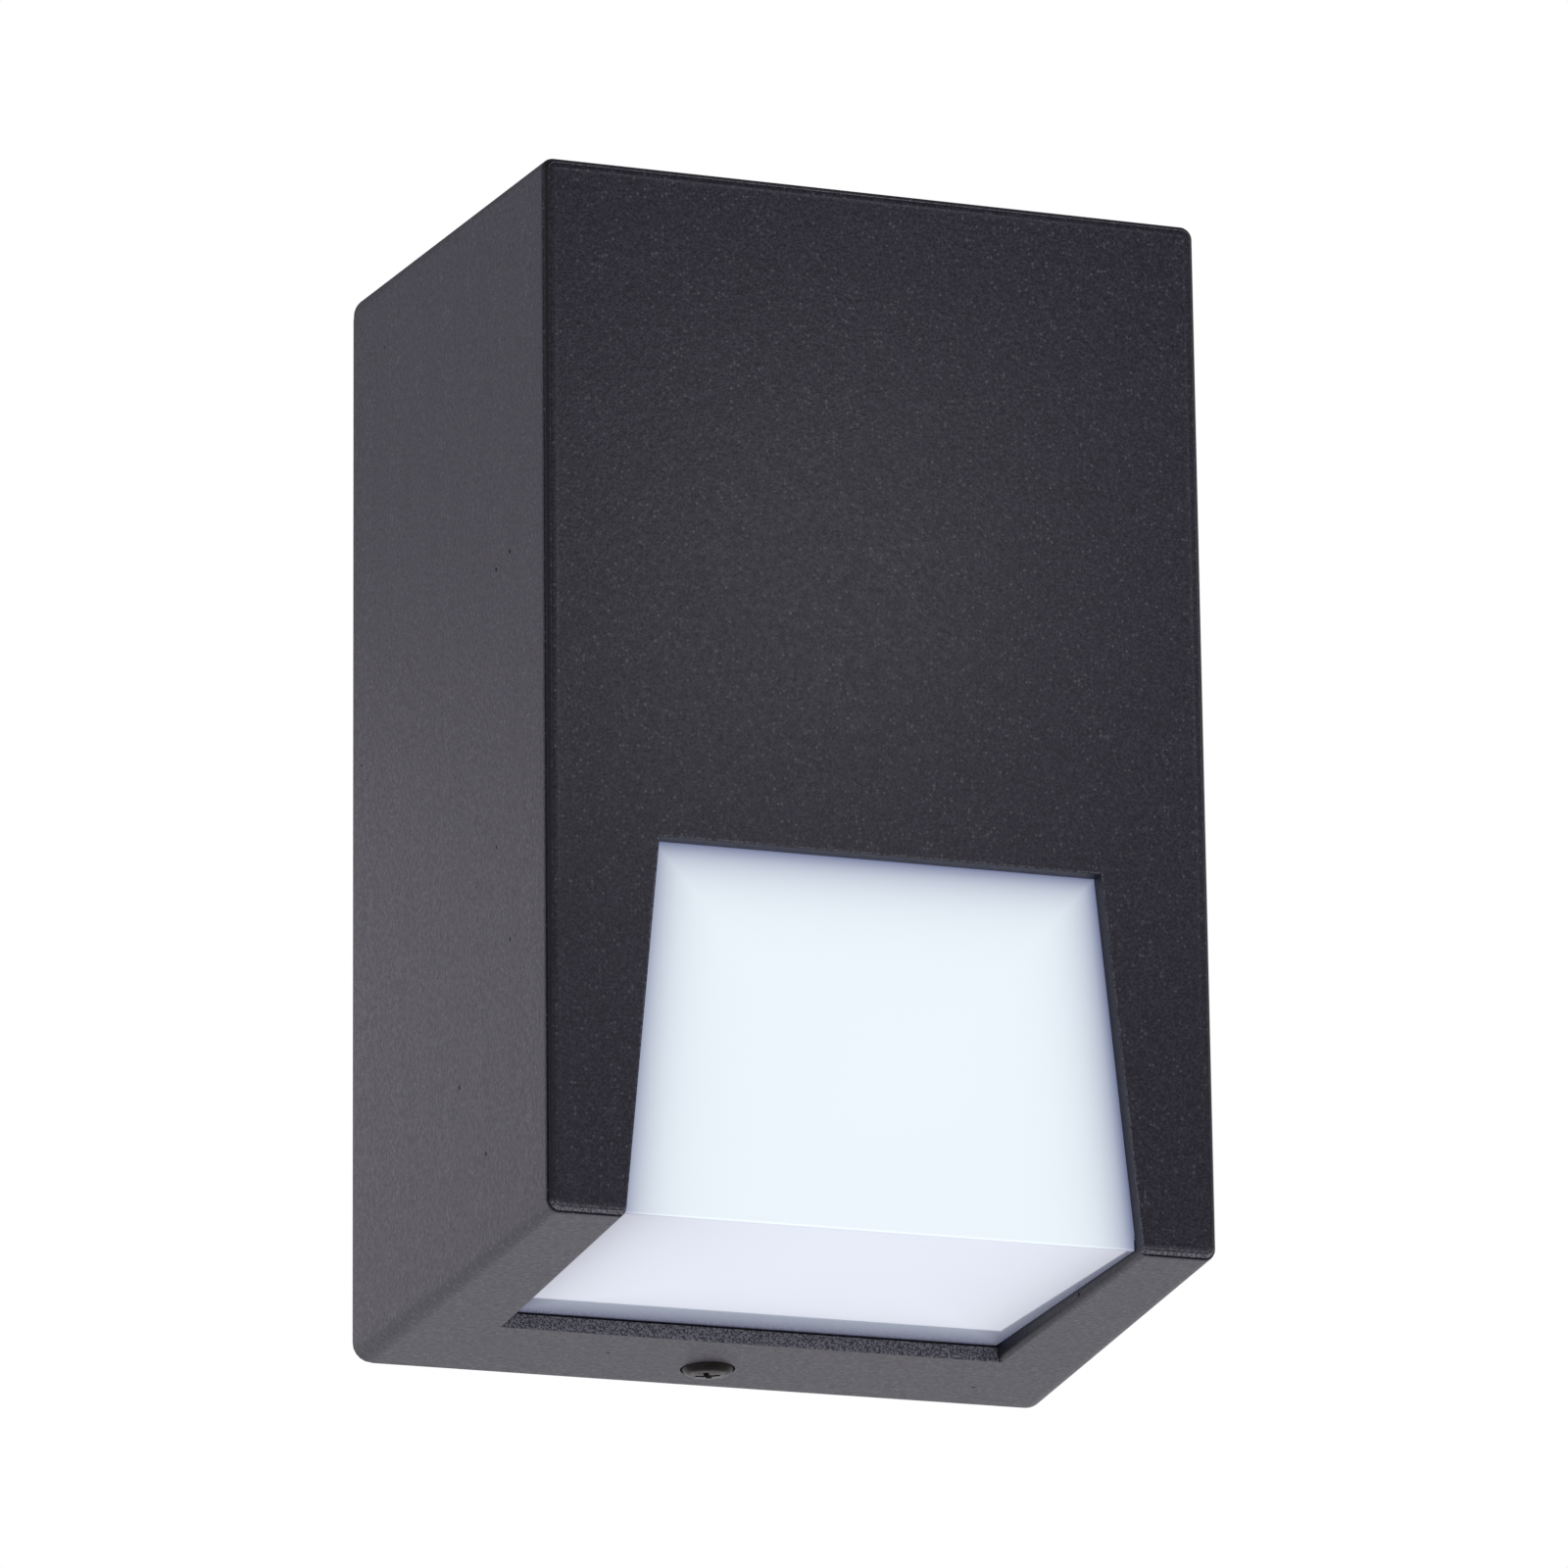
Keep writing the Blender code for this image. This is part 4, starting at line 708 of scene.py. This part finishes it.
def put_drillings(bm):
    """Pilot holes in the bosses and the ledge, and the stepped bore of the floor's screw."""
    for side in SIDES:
        for (x, z), end_y, _, depth in BOSSES:
            put_rod(bm, (side * x, end_y - depth, z), (side * x, end_y + OVERSHOOT, z),
                    PILOT_RADIUS, 24)
        for end in SIDES:
            x, z = side * COVER_SCREW_XZ[0], end * COVER_SCREW_XZ[1]
            put_rod(bm, (x, LEDGE_Y[0] - OVERSHOOT, z), (x, LEDGE_Y[1] + OVERSHOOT, z),
                    PILOT_RADIUS, 24)
    face_z = -outer_half(SCREW_Y)[1]
    seat_z = face_z + SPOT_FACE_DEPTH
    hole, spot = SCREW_RADIUS + 0.35 * MM, SCREW_HEAD_RADIUS + 0.2 * MM
    profile = [(spot, face_z - 3 * MM), (spot, seat_z), (hole, seat_z), (hole, SCREW_BORE_TOP_Z)]
    put_turned(bm, profile, (SCREW_X, SCREW_Y, 0), (0, 0, 1))


def make_housing():
    """The window is cut and its edges are rounded before the bosses are added and drilled."""
    housing = new_object("housing_casting", put_housing_shell)
    combine(housing, "DIFFERENCE", put_window)
    bevel(housing, 0.8 * MM, 3, window_weight)
    combine(housing, "UNION", put_bosses)
    combine(housing, "DIFFERENCE", put_drillings)
    smooth(housing)
    finish_piece(housing, "housing")


# ---------------------------------------------------------------- diffuser


def flange_z(y):
    """Underside of the tub, above the inside of the housing's floor by the room for the seal."""
    return floor_z(y) + FLANGE_STEP


def put_diffuser_tub(bm):
    """The tub before it is hollowed out."""
    front_y = FACE_Y + FLANGE_STEP
    outline = [
        (front_y, DIFFUSER_TOP_Z), (front_y, flange_z(front_y)),
        (DIFFUSER_REAR_Y, flange_z(DIFFUSER_REAR_Y)), (DIFFUSER_REAR_Y, DIFFUSER_TOP_Z),
    ]
    put_prism(bm, outline, -DIFFUSER_HALF, DIFFUSER_HALF, "x")


def put_front_face(bm):
    """The raised face behind the window in the front, a little larger than the window."""
    margin = 1.0 * MM
    low_z = flange_z(FACE_Y) + 0.1 * MM
    right = [(WINDOW_TOP_HALF + margin, WINDOW_TOP_Z + margin), (WINDOW_FLOOR_HALF + margin, low_z)]
    outline = right + [(-x, z) for x, z in reversed(right)]
    put_prism(bm, outline, FACE_Y, FACE_Y + FLANGE_STEP + OVERLAP, "y")


def put_floor_face(bm):
    """The raised face that fills the window in the floor, sloping from front to rear."""
    clearance = 0.25 * MM
    rear_y = WINDOW_REAR_Y - clearance
    rings = []
    for y, half, low_z in (
        (FACE_Y, WINDOW_FLOOR_HALF - clearance, FACE_FRONT_Z),
        (rear_y, WINDOW_REAR_HALF - clearance, FACE_REAR_Z),
    ):
        high_z = flange_z(y) + OVERLAP
        rings.append([Vector((-half, y, low_z)), Vector((half, y, low_z)),
                      Vector((half, y, high_z)), Vector((-half, y, high_z))])
    put_rings(bm, rings, closed=False)


def put_clip_lip(bm):
    """The lip at the top that the two clips hold."""
    front_y = FACE_Y + FLANGE_STEP + 0.2 * MM
    put_box(bm, (-LIP_HALF, front_y, LIP_LOW_Z),
            (LIP_HALF, front_y + LIP_WIDTH, DIFFUSER_HIGH.z))


def put_tub_hollow(bm):
    """What is cut out of the tub; it goes on past the open rear and top."""
    inner_front = FACE_Y + FLANGE_STEP + DIFFUSER_WALL
    beyond, above = DIFFUSER_REAR_Y + 4 * MM, DIFFUSER_TOP_Z + 9 * MM
    outline = [
        (inner_front, above), (inner_front, flange_z(inner_front) + DIFFUSER_WALL),
        (beyond, flange_z(beyond) + DIFFUSER_WALL), (beyond, above),
    ]
    half = DIFFUSER_HALF - DIFFUSER_WALL
    put_prism(bm, outline, -half, half, "x")


def diffuser_weight(edge):
    """The long front edge of the raised face is rounded most, the other outer edges a little."""
    if len(edge.link_faces) != 2 or edge.calc_face_angle(0.0) < math.radians(30):
        return 0.0
    middle = (edge.verts[0].co + edge.verts[1].co) / 2
    at_front, at_foot = middle.y < FACE_Y + 0.1 * MM, middle.z < FACE_FRONT_Z + 0.1 * MM
    return 1.0 if at_front and at_foot else 0.25


def make_diffuser():
    diffuser = new_object("opal_diffuser", put_diffuser_tub)
    for build in (put_front_face, put_floor_face, put_clip_lip):
        combine(diffuser, "UNION", build)
    combine(diffuser, "DIFFERENCE", put_tub_hollow)
    bevel(diffuser, 0.9 * MM, 5, diffuser_weight)
    smooth(diffuser)
    finish_piece(diffuser, "diffuser")


# ---------------------------------------------------------------- screws


def put_cross(bm, width, reach, low, high, taper):
    """A cross recess along Z, smaller at its low end by the taper."""
    rings = []
    for z, size in ((low, taper), (high, 1.0)):
        outline = []
        for turn in range(4):
            angle = math.radians(90 * turn + CROSS_TURN)
            for x, y in ((width, reach), (-width, reach), (-width, width)):
                x, y = x * size, y * size
                outline.append(Vector((x * math.cos(angle) - y * math.sin(angle),
                                       x * math.sin(angle) + y * math.cos(angle), z)))
        rings.append(outline)
    put_rings(bm, rings, closed=False)


def put_screw(bm, radius, length, head_radius, head_height, pitch):
    """A pan head over a threaded shank: the head's underside is z = 0, and the shank runs down."""
    sides, rings_per_turn, thread_depth = 36, 6, 0.16
    angles = [2 * math.pi * i / sides for i in range(sides)]
    rings = []
    count = int(length / pitch * rings_per_turn)
    for i in range(count + 1):
        z = -length + length * i / count
        ends = min(1.0, (z + length) / (1.2 * pitch), max(0.0, -z / pitch))
        ring = []
        for angle in angles:
            phase = (z / pitch - angle / (2 * math.pi)) % 1.0
            crest = 1.0 - abs(2.0 * phase - 1.0)
            reach = radius * (1.0 - thread_depth * (1.0 - crest * ends))
            ring.append(Vector((reach * math.cos(angle), reach * math.sin(angle), z)))
        rings.append(ring)
    edge, shoulder = 0.1 * head_height, 0.7 * head_height
    profile = [(head_radius - edge, 0.0), (head_radius, edge)]
    for step in range(7):
        angle = math.radians(76 * step / 6)
        profile.append((head_radius - shoulder * (1 - math.cos(angle)),
                        0.94 * head_height - shoulder * (1 - math.sin(angle))))
    profile += [(0.35 * head_radius, 0.985 * head_height), (0.08 * head_radius, head_height)]
    for reach, z in profile:
        rings.append([Vector((reach * math.cos(a), reach * math.sin(a), z)) for a in angles])
    put_rings(bm, rings, closed=False)


def make_screw(name, node, radius, head_direction, head_height, pitch):
    """A detailed screw in the place and length of its CAD node."""
    low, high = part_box(node)
    direction = Vector(head_direction)
    centre = (low + high) / 2
    total = abs((high - low).dot(direction))
    head_radius = sorted(high - low)[0] / 2
    underside = centre + direction * (total / 2 - head_height)
    screw = new_object(name, lambda bm: put_screw(
        bm, radius, total - head_height, head_radius, head_height, pitch))
    combine(screw, "DIFFERENCE", lambda bm: put_cross(
        bm, width=head_radius * 0.13, reach=head_radius * 0.56,
        low=head_height * 0.3, high=head_height * 1.25, taper=0.55))
    turn = direction.to_track_quat("Z", "Y").to_matrix().to_4x4()
    screw.data.transform(Matrix.Translation(underside) @ turn)
    smooth(screw, 40)
    finish_piece(screw, node)


def make_screws():
    """The floor's screw and the two earth screws are M4, and the rest are M3 or smaller."""
    back, front, down = (0, 1, 0), (0, -1, 0), (0, 0, -1)
    make_screw("floor_screw", "securing_screw", SCREW_RADIUS, down, 2.0 * MM, 0.7 * MM)
    nodes = [f"cover_screw_{number}" for number in range(1, 5)]
    nodes += [f"{kind}_{side}" for kind in ("clip_screw", "tray_screw", "driver_screw")
              for side in ("left", "right")]
    for node in nodes:
        make_screw(node + "_detailed", node, 1.3 * MM, back, 1.7 * MM, 0.6 * MM)
    for side in ("left", "right"):
        node = "board_screw_" + side
        make_screw(node + "_detailed", node, 1.3 * MM, down, 1.3 * MM, 0.6 * MM)
        node = "terminal_fixing_" + side
        make_screw(node + "_detailed", node, 1.2 * MM, back, 1.3 * MM, 0.6 * MM)
    for node, direction in (("earth_screw", back), ("bracket_earth_screw", front)):
        make_screw(node + "_detailed", node, 2.0 * MM, direction, 2.2 * MM, 0.7 * MM)


def make_sealing_washer():
    """A rubber ring with soft corners under the floor screw's head."""
    low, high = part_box("sealing_washer")
    inner, outer = SCREW_RADIUS + 0.25 * MM, (high.x - low.x) / 2
    soft = (high.z - low.z) * 0.35
    profile = []
    for corner, (radius, height, inward, upward) in enumerate((
        (outer, high.z, -1, -1), (inner, high.z, 1, -1),
        (inner, low.z, 1, 1), (outer, low.z, -1, 1),
    )):
        for step in range(4):
            angle = math.radians(90 * corner + 30 * step)
            profile.append((radius + inward * soft + soft * math.cos(angle),
                            height + upward * soft + soft * math.sin(angle)))
    washer = new_object("floor_screw_washer", lambda bm: put_turned(
        bm, profile, (SCREW_X, SCREW_Y, 0), (0, 0, 1), closed=True))
    smooth(washer, 60)
    finish_piece(washer, "sealing_washer")


# ---------------------------------------------------------------- leads


def smooth_route(points, steps=6):
    """A Catmull-Rom curve through the route's points, a few points to each stretch."""
    ends = [2 * points[0] - points[1], *points, 2 * points[-1] - points[-2]]
    route = []
    for before, start, end, after in zip(ends, ends[1:], ends[2:], ends[3:]):
        for step in range(steps):
            t = step / steps
            route.append(0.5 * (2 * start + t * (end - before)
                                + t * t * (2 * before - 5 * start + 4 * end - after)
                                + t ** 3 * (3 * start - before - 3 * end + after)))
    return [*route, points[-1]]


def make_lead(name, node, radius, route):
    """An insulated wire along the same route as its CAD node, given in millimetres."""
    points = smooth_route([Vector(point) * MM for point in route])
    sides = 16
    rings = []
    normal = Vector((1, 0, 0))
    for i, point in enumerate(points):
        along = (points[min(i + 1, len(points) - 1)] - points[max(i - 1, 0)]).normalized()
        normal = (normal - along * normal.dot(along)).normalized()
        side = along.cross(normal)
        rings.append([point + radius * (math.cos(a) * normal + math.sin(a) * side)
                      for a in (2 * math.pi * j / sides for j in range(sides))])
    lead = new_object(name, lambda bm: put_rings(bm, rings, closed=False))
    smooth(lead, 50)
    finish_piece(lead, node)


def make_leads():
    """Live and neutral from the terminal block to the driver, earth to its lug, and two leads
    from the driver to the LED board."""
    live = [(-10, -11, 0), (-10, -11, 6), (-8.5, -10, 14), (-5, -9, 22), (-2.4, -9.5, 27.5),
            (-1.6, -13, 30), (-1.6, -18.5, 30.4), (-2.5, -28, 33), (-4.6, -39, 40), (-6, -48, 45),
            (-6, -53, 46), (-6, -59, 46)]
    neutral = [(0, -11, 0), (0, -11, 6), (0.6, -10.4, 14), (1.2, -9.6, 22), (1.5, -10, 27.5),
               (1.6, -13, 29.9), (1.6, -18.5, 30.4), (2.5, -28, 33), (4.6, -39, 40), (6, -48, 45),
               (6, -53, 46), (6, -59, 46)]
    earth = [(10, -11, 0), (10, -11, 5), (10.8, -10.8, 10), (13, -11, 14.2), (17, -12, 17.2),
             (20.5, -12.6, 18), (23.6, -12.6, 18)]
    make_lead("live_wire", "lead_live", 1.1 * MM, live)
    make_lead("neutral_wire", "lead_neutral", 1.1 * MM, neutral)
    make_lead("earth_wire", "lead_earth", 1.1 * MM, earth)
    for side, name in ((-1, "minus"), (1, "plus")):
        route = [(side * 4, -66, 19), (side * 4, -66, 12), (side * 4, -65.6, 5),
                 (side * 3.6, -64.6, -3), (side * 3.2, -64, -9), (side * 3.2, -64, -14.8)]
        make_lead(f"led_wire_{name}", f"led_lead_{name}", 0.8 * MM, route)


# ---------------------------------------------------------------- stage, light and camera


def make_floor():
    """A pale floor far below the lantern, as under a light on a wall. It glows a little, so that
    it lights the lantern's underside evenly."""
    half_size, height = 40.0, -1.6
    floor = new_object("studio_floor", lambda bm: bmesh.ops.create_grid(
        bm, x_segments=8, y_segments=8, size=half_size,
        matrix=Matrix.Translation((0, 0, height))))
    material, tree, shader = new_material(
        "pale_floor", Roughness=0.9, Emission_Strength=0.72, Emission_Color=(1.0, 1.0, 1.02, 1.0))
    shade = span(tree, noise(tree, 0.6, 2.0), 0.3, 0.7)
    base = mix(tree, shade, (0.78, 0.78, 0.78), (0.82, 0.82, 0.82))
    tree.links.new(base, shader.inputs["Base Color"])
    floor.data.materials.append(material)


def make_world():
    """White where the camera sees it. As a light, it is dimmer in front of the lantern and
    overhead, where a studio is dark."""
    world = bpy.data.worlds.new("studio")
    bpy.context.scene.world = world
    world.use_nodes = True
    tree = world.node_tree
    direction = add(tree, "ShaderNodeTexCoord").outputs["Generated"]
    _, y, z = axes_of(tree, direction)
    seen = add(tree, "ShaderNodeLightPath").outputs["Is Camera Ray"]
    level = times(tree, span(tree, y, -0.6, 0.5, 0.3, 0.84), span(tree, z, -0.05, 0.6, 1.0, 0.25))
    colour = mix(tree, seen, (1.05, 1.0, 1.13), (1.0, 1.0, 1.0))
    background = tree.nodes["Background"]
    tree.links.new(colour, background.inputs["Color"])
    tree.links.new(calc(tree, "MAXIMUM", level, seen), background.inputs["Strength"])


def make_panel(name, location, aim, size, power):
    """A square area light that the camera doesn't see."""
    data = bpy.data.lights.new(name, "AREA")
    data.shape = "RECTANGLE"
    data.size = data.size_y = size
    data.energy = power
    light = bpy.data.objects.new(name, data)
    light.location = location
    light.rotation_euler = (Vector(aim) - Vector(location)).to_track_quat("-Z", "Y").to_euler()
    light.visible_camera = False
    bpy.context.scene.collection.objects.link(light)


def make_lights():
    """A small panel in front on the right, and a larger one behind on the left."""
    make_panel("front_panel", (0.035, -0.22, 0.057), (-0.005, FRONT_Y, 0.005), 0.05, 0.028)
    make_panel("left_panel", (-0.17, 0.3, 0.0), (-0.053, -0.04, -0.02), 0.22, 0.075)


def make_camera():
    """A long lens, below and to the left of the lantern, rolled by less than a degree."""
    location, focal_length = (-0.475608, -1.362241, -0.410994), 234.24
    azimuth, elevation, roll = (math.radians(a) for a in (-19.777, -16.287, -0.6545))
    back = Vector((math.sin(azimuth) * math.cos(elevation),
                   -math.cos(azimuth) * math.cos(elevation), math.sin(elevation)))
    right = Vector((0, 0, 1)).cross(back).normalized()
    up = back.cross(right)
    c, s = math.cos(roll), math.sin(roll)
    axes = (c * right + s * up, c * up - s * right, back)
    data = bpy.data.cameras.new("camera")
    data.sensor_width = 36.0
    data.lens = focal_length
    data.clip_start, data.clip_end = 0.05, 200.0
    camera = bpy.data.objects.new("camera", data)
    bpy.context.scene.collection.objects.link(camera)
    turn = Matrix([[axis[row] for axis in axes] for row in range(3)]).to_4x4()
    camera.matrix_world = Matrix.Translation(location) @ turn
    bpy.context.scene.camera = camera


make_camera()
make_world()
make_lights()
make_floor()
bpy.context.scene.view_settings.view_transform = "Standard"

paint_cad_nodes()
make_softened()
make_housing()
make_diffuser()
make_screws()
make_sealing_washer()
make_leads()
